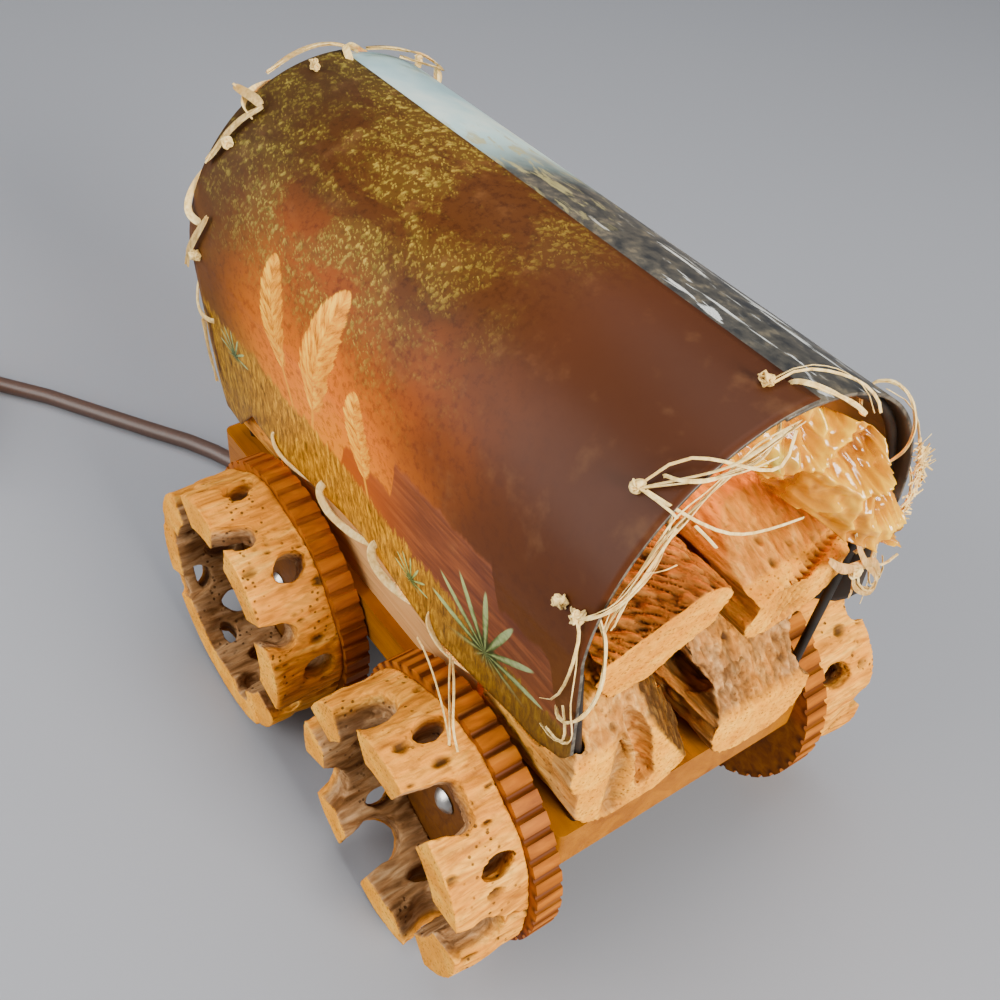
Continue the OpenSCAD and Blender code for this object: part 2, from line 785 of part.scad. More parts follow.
// Amber film: a crumpled sheet tucked under the crown at the front, over the upper far log. Its far lower
// corner comes forward past the rim and spills out over it.
film_cols = 24;
film_rows = 12;
film_t = 0.6;
film_gap = 0.5;
film_r = mid_r-rim_in-raffia_d/2-film_gap;
film_low = upper_z+upper_near_h+film_gap;
film_from = 14;
film_to = 118;
film_back = 2.5;
film_bulge = 7;
film_fold = 1.5;
film_wrinkle = 0.9;
film_hem = 1.2;
film_reach = 8.4;
film_sink = 8;
film_spill = [8, -10];
function film_ahead(u, v) = rise((v-0.15)/0.35)*rise((0.55-u)/0.25);
function film_out(u, v) = rise((v-0.5)/0.5)*rise((0.4-u)/0.3);
function film_x(u, v) =
    let (ahead = film_ahead(u, v))
    shade_front-film_back+film_reach*ahead+film_bulge*sin(180*v)*sin(180*u)*(1-ahead)
    -film_sink*rise((u-0.3)/0.3)
    +(film_fold*sin(700*u+120*v)*sin(180*v)+film_wrinkle*sin(1500*u-500*v+40))*(1-0.72*ahead);
function film_point(i, j, back) =
    let (u = i/film_cols, v = j/film_rows, a = film_from+(film_to-film_from)*u,
         top = [film_r*cos(a), arch_z+film_r*sin(a)],
         low = [film_r*cos(a)*0.8+2, film_low+film_hem*(1+sin(600*u))],
         p = top+(low-top)*v+film_spill*film_out(u, v))
    [film_x(u, v)-(back ? film_t : 0), p[0], p[1]];
module amber_film() {
    cols = film_cols+1;
    rows = film_rows+1;
    half = cols*rows;
    points = [for (back = [false, true], j = [0:film_rows], i = [0:film_cols]) film_point(i, j, back)];
    rim = concat([for (i = [0:film_cols-1]) i], [for (j = [0:film_rows-1]) j*cols+film_cols],
                 [for (i = [film_cols:-1:1]) film_rows*cols+i], [for (j = [film_rows:-1:1]) j*cols]);
    sheets = [for (j = [0:film_rows-1], i = [0:film_cols-1], back = [0, 1], tri = [0, 1])
        let (a = j*cols+i, b = a+1, c = a+cols, d = c+1, f = tri == 0 ? [a, b, d] : [a, d, c])
        back == 0 ? f : [f[0]+half, f[2]+half, f[1]+half]];
    walls = [for (k = [0:len(rim)-1], tri = [0, 1])
        let (a = rim[k], b = rim[(k+1)%len(rim)])
        tri == 0 ? [a, a+half, b] : [b, a+half, b+half]];
    color("orange", 0.7)
        polyhedron(points, concat(sheets, walls), convexity=6);
}

// Lamp: a strap bracket, a keyed candelabra socket and its bulb
module socket_bracket() {
    color("darkgray")
        difference() {
            translate([socket_x, 0, plank_top])
                rotate([90, 0, 0])
                    linear_extrude(bracket_w, center=true)
                        union() {
                            translate([-bracket_half, bracket_h-bracket_t])
                                square([2*bracket_half, bracket_t]);
                            for (side = [-1, 1]) {
                                translate([side > 0 ? bracket_half-bracket_t : -bracket_half, 0])
                                    square([bracket_t, bracket_h]);
                                translate([side > 0 ? bracket_half-bracket_t : -bracket_half-bracket_foot, 0])
                                    square([bracket_foot+bracket_t, bracket_t]);
                            }
                        }
            translate([socket_x, 0, plank_top]) cylinder(d=nipple_d, h=bracket_h+1);
            screw_places()
                translate([0, 0, plank_top-1]) cylinder(d=screw_d, h=bracket_t+2);
        }
}
module bracket_screws() {
    color("silver")
        screw_places() {
            translate([0, 0, plank_top-screw_grip]) cylinder(d=screw_d, h=screw_grip+bracket_t+screw_head_t/2);
            translate([0, 0, plank_top+bracket_t]) cylinder(d=screw_head_d, h=screw_head_t);
        }
}
module lamp_socket() {
    nipple_l = bracket_t+nut_h+1;
    ridge = 1.2;
    color("darkkhaki")
        difference() {
            union() {
                translate([socket_x, 0, bracket_top])
                    rotate_extrude()
                        polygon([[0, 0], [socket_d/2-4, 0], [socket_d/2, 5], [socket_d/2, socket_h-6],
                                 [socket_d/2+ridge, socket_h-5], [socket_d/2+ridge, socket_h-2],
                                 [socket_d/2-1, socket_h], [0, socket_h]]);
                translate([socket_x, 0, bracket_top-nipple_l]) cylinder(d=nipple_d, h=nipple_l+1);
            }
            translate([socket_x, 0, socket_top-base_l-2]) cylinder(d=socket_bore_d, h=base_l+3);
            translate([socket_x, 0, bracket_top-nipple_l-1]) cylinder(d=cord_d+2*cord_gap, h=nipple_l+4);
            translate([socket_x-socket_d/2+key_depth, 0, key_z])
                rotate([0, -90, 0]) cylinder(d=key_d+2*key_play, h=key_depth+2);
        }
}
module socket_locknut() {
    color("gold")
        translate([socket_x, 0, bracket_top-bracket_t-nut_h])
            difference() {
                cylinder(d=nut_w, h=nut_h, $fn=6);
                translate([0, 0, -1]) cylinder(d=nipple_d, h=nut_h+2);
            }
}
module switch_key() {
    stem_l = key_depth-key_end_gap+key_l*0.5;
    paddle_w = 11;
    paddle_t = 3;
    color("black")
        translate([socket_x-socket_d/2+key_depth-key_end_gap, 0, key_z])
            rotate([0, -90, 0]) {
                cylinder(d=key_d, h=stem_l);
                translate([0, 0, stem_l-1])
                    rotate([90, 0, 0])
                        linear_extrude(paddle_t, center=true)
                            translate([0, paddle_w/2]) {
                                circle(d=paddle_w);
                                translate([-paddle_w*0.3, -paddle_w/2]) square([paddle_w*0.6, paddle_w/2]);
                            }
            }
}
module bulb_base() {
    tip_d = 5;
    color("gold")
        translate([socket_x, 0, socket_top-base_l])
            rotate_extrude()
                polygon([[0, -1], [tip_d/2, -1], [tip_d/2, 1], [socket_bore_d/2-base_play, 3],
                         [socket_bore_d/2-base_play, base_l+bulb_gap], [0, base_l+bulb_gap]]);
}
// Glass outline: a neck that swells to the full width and draws in to a round tip
function glass_r(t) = bulb_d/2*pow(sin(180*pow(0.12+0.88*t, 0.72)), 0.62);
glass_steps = 14;
module bulb_glass() {
    lift = socket_top+bulb_gap;
    wall = [for (i = [0:glass_steps-1]) let (t = i/glass_steps) [glass_r(t), bulb_h*t]];
    hollow = [for (i = [0:glass_steps-1]) let (t = i/glass_steps)
        [max(glass_r(t)-glass_t, 0.3), (bulb_h-glass_t)*t]];
    color("white", 0.5)
        translate([socket_x, 0, lift])
            rotate_extrude()
                difference() {
                    polygon(concat([[0, 0]], wall, [[0, bulb_h]]));
                    translate([0, -eps]) polygon(concat([[0, 0]], hollow, [[0, bulb_h-glass_t]]));
                }
}

// Cord
module cord_bushing() {
    flange_d = bushing_d+5;
    flange_t = 2;
    color("dimgray")
        translate([socket_x, 0, 0])
            rotate_extrude()
                polygon([[cord_d/2+cord_gap, exit_z], [cord_d/2+1, exit_z], [bushing_d/2, plank_z-flange_t-1],
                         [flange_d/2, plank_z-flange_t], [flange_d/2, plank_z], [bushing_d/2, plank_z],
                         [bushing_d/2, plank_top], [cord_d/2+cord_gap, plank_top]]);
}
module lead_inside() {
    color("saddlebrown")
        translate([socket_x, 0, exit_z]) cylinder(d=cord_d, h=bracket_top+2-exit_z);
}
module cord_free() {
    color("saddlebrown")
        tube(cord_route, cord_d/2, 8, [0, 1, 0]);
}

// The unseen length, wound in and out again in two layers
function coil_r(t) = coil_out_r-coil_pitch*min(t, coil_turns-t);
function coil_height(t) =
    coil_z+coil_pitch*rise((t-coil_turns/2+coil_climb)/(2*coil_climb));
function coil_point(t) =
    let (a = coil_start+360*t)
    [coil_mid.x+coil_r(t)*cos(a), coil_mid.y+coil_r(t)*sin(a), coil_height(t)];
coil_steps = round(coil_turns*coil_rings);
coil_loops = [for (i = [0:coil_steps]) coil_point(coil_turns*i/coil_steps)];
coil_exit = let (a = coil_start+360*coil_turns) [-sin(a), cos(a), 0];
coil_tail = [for (k = [0.25, 0.5, 0.75, 1])
    coil_loops[coil_steps]+coil_exit*(tail_l*k)
    +[0, 0, (plug_z-coil_loops[coil_steps].z)*ease(min(1, k*tail_drop))]];
coil_path = concat([cord_route[len(cord_route)-1]], coil_loops, coil_tail);
tail_end = coil_tail[3];
coil_self_gap = min([for (i = [0:coil_steps], j = [i+coil_rings/2:coil_steps])
    norm(coil_loops[i]-coil_loops[j])])-cord_d;
echo(coil_self_gap=coil_self_gap);
function path_length(p) = len(p) < 2 ? 0 : [for (i = [1:len(p)-1]) norm(p[i]-p[i-1])]*[for (i = [1:len(p)-1]) 1];
echo(cord_length=path_length(cord_route)+path_length(coil_path));
module cord_coil() {
    color("saddlebrown")
        tube(coil_path, cord_d/2, 6, [0, 0, 1]);
}
module coil_tie() {
    tie_gap = 0.4;
    r_in = coil_out_r-coil_pitch*coil_turns/2-cord_d/2-tie_gap;
    r_out = coil_out_r+cord_d/2+tie_gap;
    h = coil_z+coil_pitch+cord_d/2+tie_gap;
    color("black")
        translate([coil_mid.x, coil_mid.y, 0])
            rotate(tie_angle)
                translate([0, tie_w/2, 0])
                    rotate([90, 0, 0])
                        linear_extrude(tie_w)
                            difference() {
                                translate([r_in-tie_t, 0]) square([r_out-r_in+2*tie_t, h+tie_t]);
                                translate([r_in, tie_t]) square([r_out-r_in, h-tie_t]);
                            }
}
// The plug lies on the table where the coil's tail ends
module at_plug() {
    translate(tail_end)
        rotate(atan2(coil_exit.y, coil_exit.x))
            children();
}
module plug_body() {
    neck = cord_d+2;
    color("saddlebrown")
        at_plug()
            intersection() {
                translate([0, 0, -plug_t/2])
                    linear_extrude(plug_t)
                        polygon([[0, -neck/2], [plug_l*0.35, -plug_w/2], [plug_l, -plug_w/2],
                                 [plug_l, plug_w/2], [plug_l*0.35, plug_w/2], [0, neck/2]]);
                across_y(plug_w)
                    polygon([[0, -neck/2], [plug_l*0.3, -plug_t/2], [plug_l*0.8, -plug_t/2],
                             [plug_l, -plug_t*0.4], [plug_l, plug_t*0.4], [plug_l*0.8, plug_t/2],
                             [plug_l*0.3, plug_t/2], [0, neck/2]]);
            }
}
module plug_blades() {
    color("gold")
        at_plug()
            for (side = [-1, 1])
                translate([plug_l, side*blade_gap/2-blade_t/2, -blade_w/2])
                    cube([blade_l, blade_t, blade_w]);
}

base_plank();
front_axle_bar();
rear_axle_bar();
axle_nails();
bed_nails();
wheel_slice_front_near();
wheel_slice_front_far();
wheel_slice_rear_near();
wheel_slice_rear_far();
wheel_disc_front_near();
wheel_disc_front_far();
wheel_disc_rear_near();
wheel_disc_rear_far();
side_board_near();
side_board_far();
front_log_lower_near();
front_log_lower_far();
front_log_upper_near();
front_log_upper_far();
rear_log_near();
rear_log_far();
shade_near_panel();
shade_far_panel();
front_hoop();
rear_hoop();
raffia_front_rim();
raffia_rear_rim();
raffia_near_edge();
raffia_far_edge();
amber_film();
socket_bracket();
bracket_screws();
lamp_socket();
socket_locknut();
switch_key();
bulb_base();
bulb_glass();
cord_bushing();
lead_inside();
cord_free();
cord_coil();
coil_tie();
plug_body();
plug_blades();
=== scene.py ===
# %% [markdown]
# # A covered-wagon lamp of cactus wood
# The lamp is a small wagon: a varnished plank bed, four wheels sawn from hollow cholla wood, logs of the
# same wood at both ends, and an arched sheet shade laced with raffia over one warm bulb. The solid frame is
# loaded first and stays as it is. Each cell then dresses one kind of piece, in the frame's own metres.

# %% Load the frame
import math
import random

import bmesh
import bpy
import numpy as np
from mathutils import Matrix, Vector, noise


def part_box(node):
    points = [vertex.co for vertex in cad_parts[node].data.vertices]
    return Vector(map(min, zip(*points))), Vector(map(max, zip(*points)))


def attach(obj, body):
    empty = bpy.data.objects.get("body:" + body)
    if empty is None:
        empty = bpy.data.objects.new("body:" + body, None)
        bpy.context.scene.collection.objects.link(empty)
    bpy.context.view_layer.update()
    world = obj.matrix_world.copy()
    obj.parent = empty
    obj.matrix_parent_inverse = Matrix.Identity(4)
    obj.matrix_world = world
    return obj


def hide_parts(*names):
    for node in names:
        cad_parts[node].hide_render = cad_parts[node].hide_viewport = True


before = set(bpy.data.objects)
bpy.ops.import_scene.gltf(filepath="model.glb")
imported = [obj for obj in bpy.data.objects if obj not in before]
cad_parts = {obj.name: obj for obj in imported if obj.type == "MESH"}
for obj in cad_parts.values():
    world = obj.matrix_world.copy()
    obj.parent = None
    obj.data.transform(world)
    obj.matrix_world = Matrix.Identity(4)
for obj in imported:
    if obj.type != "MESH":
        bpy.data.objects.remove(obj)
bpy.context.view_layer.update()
MM = 0.001


def linked(name, data):
    """A new object in the scene."""
    made = bpy.data.objects.new(name, data)
    bpy.context.collection.objects.link(made)
    return made


# %% [markdown]
# ## The camera
# The photograph looks down on the wagon from its near front corner, with a slight roll. A camera fit gave
# the place, the three angles, the focal length and a small shift, and the camera's own axes are built from
# the angles, so nothing has to be turned by hand.

# %% Camera
AZIMUTH, ELEVATION, ROLL = math.radians(51.486), math.radians(44.193), math.radians(5.197)
EYE = Vector((177.85, -148.07, 293.46)) * MM
back = Vector((math.sin(AZIMUTH) * math.cos(ELEVATION), -math.cos(AZIMUTH) * math.cos(ELEVATION),
               math.sin(ELEVATION)))
level = Vector((math.cos(AZIMUTH), math.sin(AZIMUTH), 0))
upright = back.cross(level)
right = level * math.cos(ROLL) + upright * math.sin(ROLL)
up = upright * math.cos(ROLL) - level * math.sin(ROLL)
lens = bpy.data.cameras.new("camera")
lens.lens = 41.74
lens.sensor_width = 36
lens.shift_x = 0.0204
lens.shift_y = 0.0291
lens.clip_start = 0.01
camera = linked("camera", lens)
camera.matrix_world = Matrix(((right.x, up.x, back.x, EYE.x), (right.y, up.y, back.y, EYE.y),
                              (right.z, up.z, back.z, EYE.z), (0, 0, 0, 1)))
bpy.context.scene.camera = camera
print("camera at", tuple(round(c, 3) for c in EYE))

# %% [markdown]
# ## Shader sums in plain Python
# Node trees are easier to read as expressions. One small class wraps a socket and overloads the operators,
# so `1 - mask` adds a Math node by itself. A second class holds a material: its `add` makes any node, sets
# its settings first and then its sockets.


# %% Sockets that can be added and multiplied
class Value:
    """A number on a surface, kept as a shader socket."""

    def __init__(self, finish, socket):
        self.finish = finish
        self.socket = socket

    def math(self, operation, *others):
        sockets = {0: self}
        for place, other in enumerate(others, 1):
            sockets[place] = other
        return self.finish.add("ShaderNodeMath", {"operation": operation}, sockets)

    def flip(self, operation, other):
        return self.finish.add("ShaderNodeMath", {"operation": operation}, {0: other, 1: self})

    def __add__(self, other):
        return self.math("ADD", other)

    def __radd__(self, other):
        return self.math("ADD", other)

    def __sub__(self, other):
        return self.math("SUBTRACT", other)

    def __rsub__(self, other):
        return self.flip("SUBTRACT", other)

    def __mul__(self, other):
        return self.math("MULTIPLY", other)

    def __rmul__(self, other):
        return self.math("MULTIPLY", other)

    def __truediv__(self, other):
        return self.math("DIVIDE", other)

    def __pow__(self, other):
        return self.math("POWER", other)

    def step(self, low, high):
        """0 below low, 1 above high, smooth between them."""
        sockets = {0: self, 1: low, 2: high, 3: 0.0, 4: 1.0}
        return self.finish.add("ShaderNodeMapRange", {"interpolation_type": "SMOOTHSTEP"}, sockets)

    def band(self, middle, half, soft):
        """1 near middle, 0 further off than half."""
        return 1 - (self - middle).math("ABSOLUTE").step(half - soft, half + soft)


class Finish:
    """A material with one Principled shader and the nodes that feed it."""

    def __init__(self, name, **constants):
        self.material = bpy.data.materials.new(name)
        self.material.use_nodes = True
        self.tree = self.material.node_tree
        self.shader = self.tree.nodes["Principled BSDF"]
        for key, value in constants.items():
            self.shader.inputs[key.replace("_", " ")].default_value = value

    def add(self, kind, settings=None, sockets=None, out=0):
        made = self.tree.nodes.new(kind)
        for key, value in (settings or {}).items():
            if key == "stops":
                ramp = made.color_ramp
                while len(ramp.elements) < len(value):
                    ramp.elements.new(0.5)
                for element, (place, colour) in zip(ramp.elements, value):
                    element.position = place
                    element.color = (*colour, 1)
            else:
                setattr(made, key, value)
        for key, value in (sockets or {}).items():
            if isinstance(value, Value):
                self.tree.links.new(value.socket, made.inputs[key])
            elif isinstance(value, tuple) and len(value) == 3 and made.inputs[key].type == "RGBA":
                made.inputs[key].default_value = (*value, 1)
            else:
                made.inputs[key].default_value = value
        return Value(self, made.outputs[out])

    def place(self):
        return self.add("ShaderNodeTexCoord", out="Object")

    def shift(self, offset, stretch=(1, 1, 1), turn=(0, 0, 0), at=None):
        return self.add("ShaderNodeMapping", None, {"Vector": at or self.place(), "Location": offset,
                                                    "Scale": stretch, "Rotation": turn})

    def axes(self, at=None):
        split = self.add("ShaderNodeSeparateXYZ", None, {0: at or self.place()})
        node = split.socket.node
        return [Value(self, node.outputs[k]) for k in range(3)]

    def noise(self, at, scale, detail=3.0, rough=0.5, twist=0.0):
        return self.add("ShaderNodeTexNoise", None, {"Vector": at, "Scale": scale, "Detail": detail,
                                                     "Roughness": rough, "Distortion": twist})

    def cells(self, at, scale):
        return self.add("ShaderNodeTexVoronoi", None, {"Vector": at, "Scale": scale})

    def distance(self, centre):
        """How far a point of the surface is from a place."""
        x, y, z = (axis - middle for axis, middle in zip(self.axes(), centre))
        return (x * x + y * y + z * z).math("SQRT")

    def mark(self, name):
        return self.add("ShaderNodeAttribute", {"attribute_name": name}, out="Fac")

    def mix(self, share, first, second, blend="MIX"):
        return self.add("ShaderNodeMix", {"data_type": "RGBA", "blend_type": blend},
                        {0: share, 6: first, 7: second}, out=2)

    def ramp(self, share, *stops):
        return self.add("ShaderNodeValToRGB", {"stops": stops}, {0: share})

    def bump(self, height, strength, distance):
        self.feed("Normal", self.add("ShaderNodeBump", None, {"Height": height, "Strength": strength,
                                                              "Distance": distance}))

    def feed(self, socket, value):
        self.tree.links.new(value.socket, self.shader.inputs[socket])


def dress(node, finish):
    """Gives a solid of the frame its finish."""
    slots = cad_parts[node].data.materials
    slots.clear()
    slots.append(finish.material)


# %% [markdown]
# ## Making a piece
# A new piece is a mesh object at the origin that rides on a body of the frame. Woody pieces start from a
# copy of the solid: its loose triangles are merged, a voxel remesh gives even small faces, and the points
# are then moved as the wood has grown. The marks kept on the points tell the finish where the wood is sawn
# or weathered, and where shade is painted into its hollows.


# %% Piece helpers
def new_piece(name, mesh, body, slot, *finishes):
    piece = linked(name, mesh)
    for finish in finishes:
        mesh.materials.append(finish.material)
    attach(piece, body)
    return piece


def mesh_from(work, name):
    """A new mesh of what was built; the work itself is let go."""
    mesh = bpy.data.meshes.new(name)
    work.to_mesh(mesh)
    work.free()
    return mesh


def applied(piece):
    """The mesh that a piece has with its modifiers done."""
    shown = piece.evaluated_get(bpy.context.evaluated_depsgraph_get())
    return bpy.data.meshes.new_from_object(shown)


def cut_off(work, place, way):
    """Takes away all that lies past a plane and closes the cut."""
    everything = work.verts[:] + work.edges[:] + work.faces[:]
    bmesh.ops.bisect_plane(work, geom=everything, plane_co=Vector(place) * MM, plane_no=way, clear_outer=True)
    bmesh.ops.holes_fill(work, edges=[e for e in work.edges if e.is_boundary], sides=0)


def ring_part(work, middle, radii, depths, angles, slide):
    """A part of a ring round a wheel's axle, which the remesh joins to the rest."""
    start = math.radians(angles[0])
    way = Vector((math.cos(start), 0, math.sin(start)))
    corners = [(radii[0], depths[0]), (radii[1], depths[0]), (radii[1], depths[1]), (radii[0], depths[1])]
    verts = [work.verts.new((middle + way * r + Vector((0, y, 0))) * MM) for r, y in corners]
    face = work.faces.new(verts)
    steps = 30
    bmesh.ops.spin(work, geom=[face], cent=middle * MM, axis=(0, -1, 0), dvec=(0, slide * MM / steps, 0),
                   angle=math.radians(angles[1] - angles[0]), steps=steps, use_duplicate=False)
    bmesh.ops.holes_fill(work, edges=[e for e in work.edges if e.is_boundary], sides=0)


def remeshed(node, voxel, cuts=(), parts=()):
    work = bmesh.new()
    work.from_mesh(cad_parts[node].data)
    bmesh.ops.remove_doubles(work, verts=work.verts, dist=0.00002)
    for place, way in cuts:
        cut_off(work, place, way)
    for part in parts:
        ring_part(work, *part)
    if parts:
        bmesh.ops.recalc_face_normals(work, faces=work.faces)
    carrier = linked("carrier", mesh_from(work, node + "_wood"))
    remesh = carrier.modifiers.new("even", "REMESH")
    remesh.mode = "VOXEL"
    remesh.voxel_size = voxel
    fine = applied(carrier)
    bpy.data.objects.remove(carrier)
    fine.materials.clear()
    return fine


def points_of(mesh, what="co"):
    flat = np.empty(3 * len(mesh.vertices), np.float32)
    mesh.vertices.foreach_get(what, flat)
    return flat.reshape(-1, 3)


def mark_points(mesh, name, values):
    mesh.attributes.new(name, "FLOAT", "POINT").data.foreach_set("value", np.asarray(values, np.float32))


def soften(mesh, keep, rounds):
    """Rounds every edge except at the points to keep."""
    work = bmesh.new()
    work.from_mesh(mesh)
    work.verts.ensure_lookup_table()
    loose = [v for v in work.verts if not keep[v.index]]
    for _ in range(rounds):
        bmesh.ops.smooth_vert(work, verts=loose, factor=0.5, use_axis_x=True, use_axis_y=True,
                              use_axis_z=True)
    work.to_mesh(mesh)
    work.free()


def field(points, scale, stretch=(1, 1, 1), seed=0.0):
    """Smooth noise from -1 to 1 at each point, in lumps of about the given size."""
    steps = np.asarray(points, np.float64) * (np.asarray(stretch) / scale) + seed
    return np.array([noise.noise(Vector(p)) for p in steps])


def ridges(points, scale, stretch=(1, 1, 1), seed=0.0):
    """Sharp grooves: 0 on the flats, 1 at the bottom of a groove."""
    return 1 - np.minimum(1, np.abs(field(points, scale, stretch, seed)) * 3.2)


def pits(points, scale, share, stretch=(1, 1, 1), seed=0.0):
    """Round pits in some of the cells of a pattern: 1 at a pit's middle, 0 outside."""
    steps = np.asarray(points, np.float64) * (np.asarray(stretch) / scale) + seed
    depth = np.zeros(len(steps))
    for i, p in enumerate(steps):
        gaps, spots = noise.voronoi(Vector(p))
        if noise.cell(spots[0] * 7.3) < 2 * share - 1:
            depth[i] = max(0.0, 1 - gaps[0] / 0.34)
    return depth ** 0.5


# %% [markdown]
# ## Cholla wood
# Cholla is a lattice: a tube of wood with lens-shaped holes where the branches grew. Sawn faces are smooth
# and yellow, the outside is orange-tan with fibres that run along the log, and the old inside is grey. The
# marks on the points pick between the three, and noise stretched along the log makes the fibres. A fourth
# mark paints near-black shade into pits, holes and grooves.


# %% Cholla finish
def cholla(name, along, tint, redness=0.0, grey=0.5, spongy=1.0, swing=0.0):
    """along names the log's axis and swing turns it; the rest say how worn it is."""
    wood = Finish(name, Roughness=0.62, Specular_IOR_Level=0.08)
    stretch = tuple(0.16 if axis == along else 1.0 for axis in "XYZ")
    here = wood.place()
    fibre_at = wood.shift((0, 0, 0), stretch, at=wood.shift((0, 0, 0), turn=(0, 0, -swing)))
    fibre = wood.noise(fibre_at, 900, 4, 0.6, 0.4)
    strand = wood.noise(fibre_at, 320, 3, 0.55, 0.8)
    cloud = wood.noise(here, 60, 3, 0.5)
    grain = wood.noise(here, 1500, 2, 0.5)
    sawn, inner, groove = wood.mark("sawn"), wood.mark("inner"), wood.mark("groove")
    pore = 1 - wood.cells(here, 560).step(0.14, 0.30)
    sponge = pore * wood.noise(here, 95, 2, 0.5).step(0.50, 0.60) * spongy
    outer = wood.ramp(strand, (0.25, (0.36, 0.115, 0.008)), (0.45, (0.66, 0.245, 0.016)),
                      (0.6, (0.80, 0.35, 0.035)), (0.8, (0.88, 0.50, 0.10)))
    outer = wood.mix(cloud.step(0.42, 0.64) * 0.45, outer, (0.66, 0.225, 0.010))
    outer = wood.mix(redness, outer, (0.34, 0.080, 0.008))
    cut = wood.ramp(wood.noise(here, 170, 3, 0.55), (0.3, (0.66, 0.240, 0.008)), (0.5, (0.80, 0.330, 0.016)),
                    (0.7, (0.87, 0.43, 0.045)))
    dots = 1 - wood.cells(here, 820).step(0.14, 0.32)
    cut = wood.mix(cloud.step(0.46, 0.66) * 0.5, cut, (0.56, 0.205, 0.010))
    cut = wood.mix(grain.step(0.58, 0.72) * 0.35 + dots * 0.55, cut, (0.26, 0.085, 0.006))
    old = wood.ramp(strand, (0.3, (0.060, 0.034, 0.018)), (0.5, (0.23, 0.135, 0.072)),
                    (0.72, (0.46, 0.30, 0.175)))
    tone = wood.mix(inner * grey * 1.6, outer, old)
    tone = wood.mix(sawn, tone, cut)
    tone = wood.mix((fibre.step(0.52, 0.66) * 0.36) * (1 - sawn * 0.7), tone, (0.20, 0.060, 0.008))
    tone = wood.mix(sponge * (1 - sawn * 0.55) * 0.85, tone, (0.055, 0.022, 0.008))
    # Painted shade: near black in the pits, holes and grooves that the recess mark covers.
    tone = wood.mix(groove * 0.92, tone, (0.022, 0.009, 0.004))
    tone = wood.mix(1.0, tone, tint, "MULTIPLY")
    wood.feed("Base Color", tone)
    wood.feed("Roughness", 0.48 + fibre * 0.22 + inner * 0.12)
    wood.bump(fibre * 0.6 + strand * 0.8 + grain * 0.3 - sponge * 1.2 - dots * sawn * 0.7, 0.6, 0.0007)
    return wood


TORN = math.radians(22)
WHEEL_WOOD = cholla("wheel_cholla", "Y", (1.0, 1.0, 1.0))
LOG_RED = cholla("reddish_log", "X", (1.0, 0.96, 0.9), redness=0.55, grey=0.15, spongy=0.4, swing=TORN)
LOG_TAN = cholla("tan_log", "X", (1.0, 1.0, 1.0), redness=0.05, grey=0.15, spongy=0.3)
LOG_GREY = cholla("weathered_log", "X", (1.0, 1.0, 1.0), grey=0.42, spongy=0.4)
LOG_PALE = cholla("pale_log", "X", (1.05, 1.08, 1.10), grey=0.3, spongy=0.5)

# %% [markdown]
# ## Wheels
# Each wheel's slice is the frame's ring with its slots and holes, worn round at every edge but flat where
# the saw cut it. Lumps, fibres and small pits are pressed into the outside, and the sawn face only gets
# faint saw marks.

# %% Wheel slices
WHEELS = {"front_near": 49, "front_far": 49, "rear_near": -39, "rear_far": -39}
AXLE_Z = 38.5 * MM
SLICE_R = 37 * MM
SLICE_OUT = 69.1 * MM
SLICE_IN = 48.6 * MM
SLICE_VOXEL = 0.6 * MM
NEAR_FACE, REACH = -69.05, 36.9
BRIDGES = {"rear_near": [((28.5, REACH), (NEAR_FACE, -65.2), (146, 224), 1.2),
                         ((27, REACH), (NEAR_FACE, -63.4), (220, 262), 0),
                         ((29.5, REACH), (NEAR_FACE, -66), (258, 306), -0.8)],
           "front_near": [((29, 36.7), (-49.4, -57.4), (48, 77), 1.6)]}
SPONGY_SPOTS = {"front_near": (58, -53), "rear_near": (62, -56)}


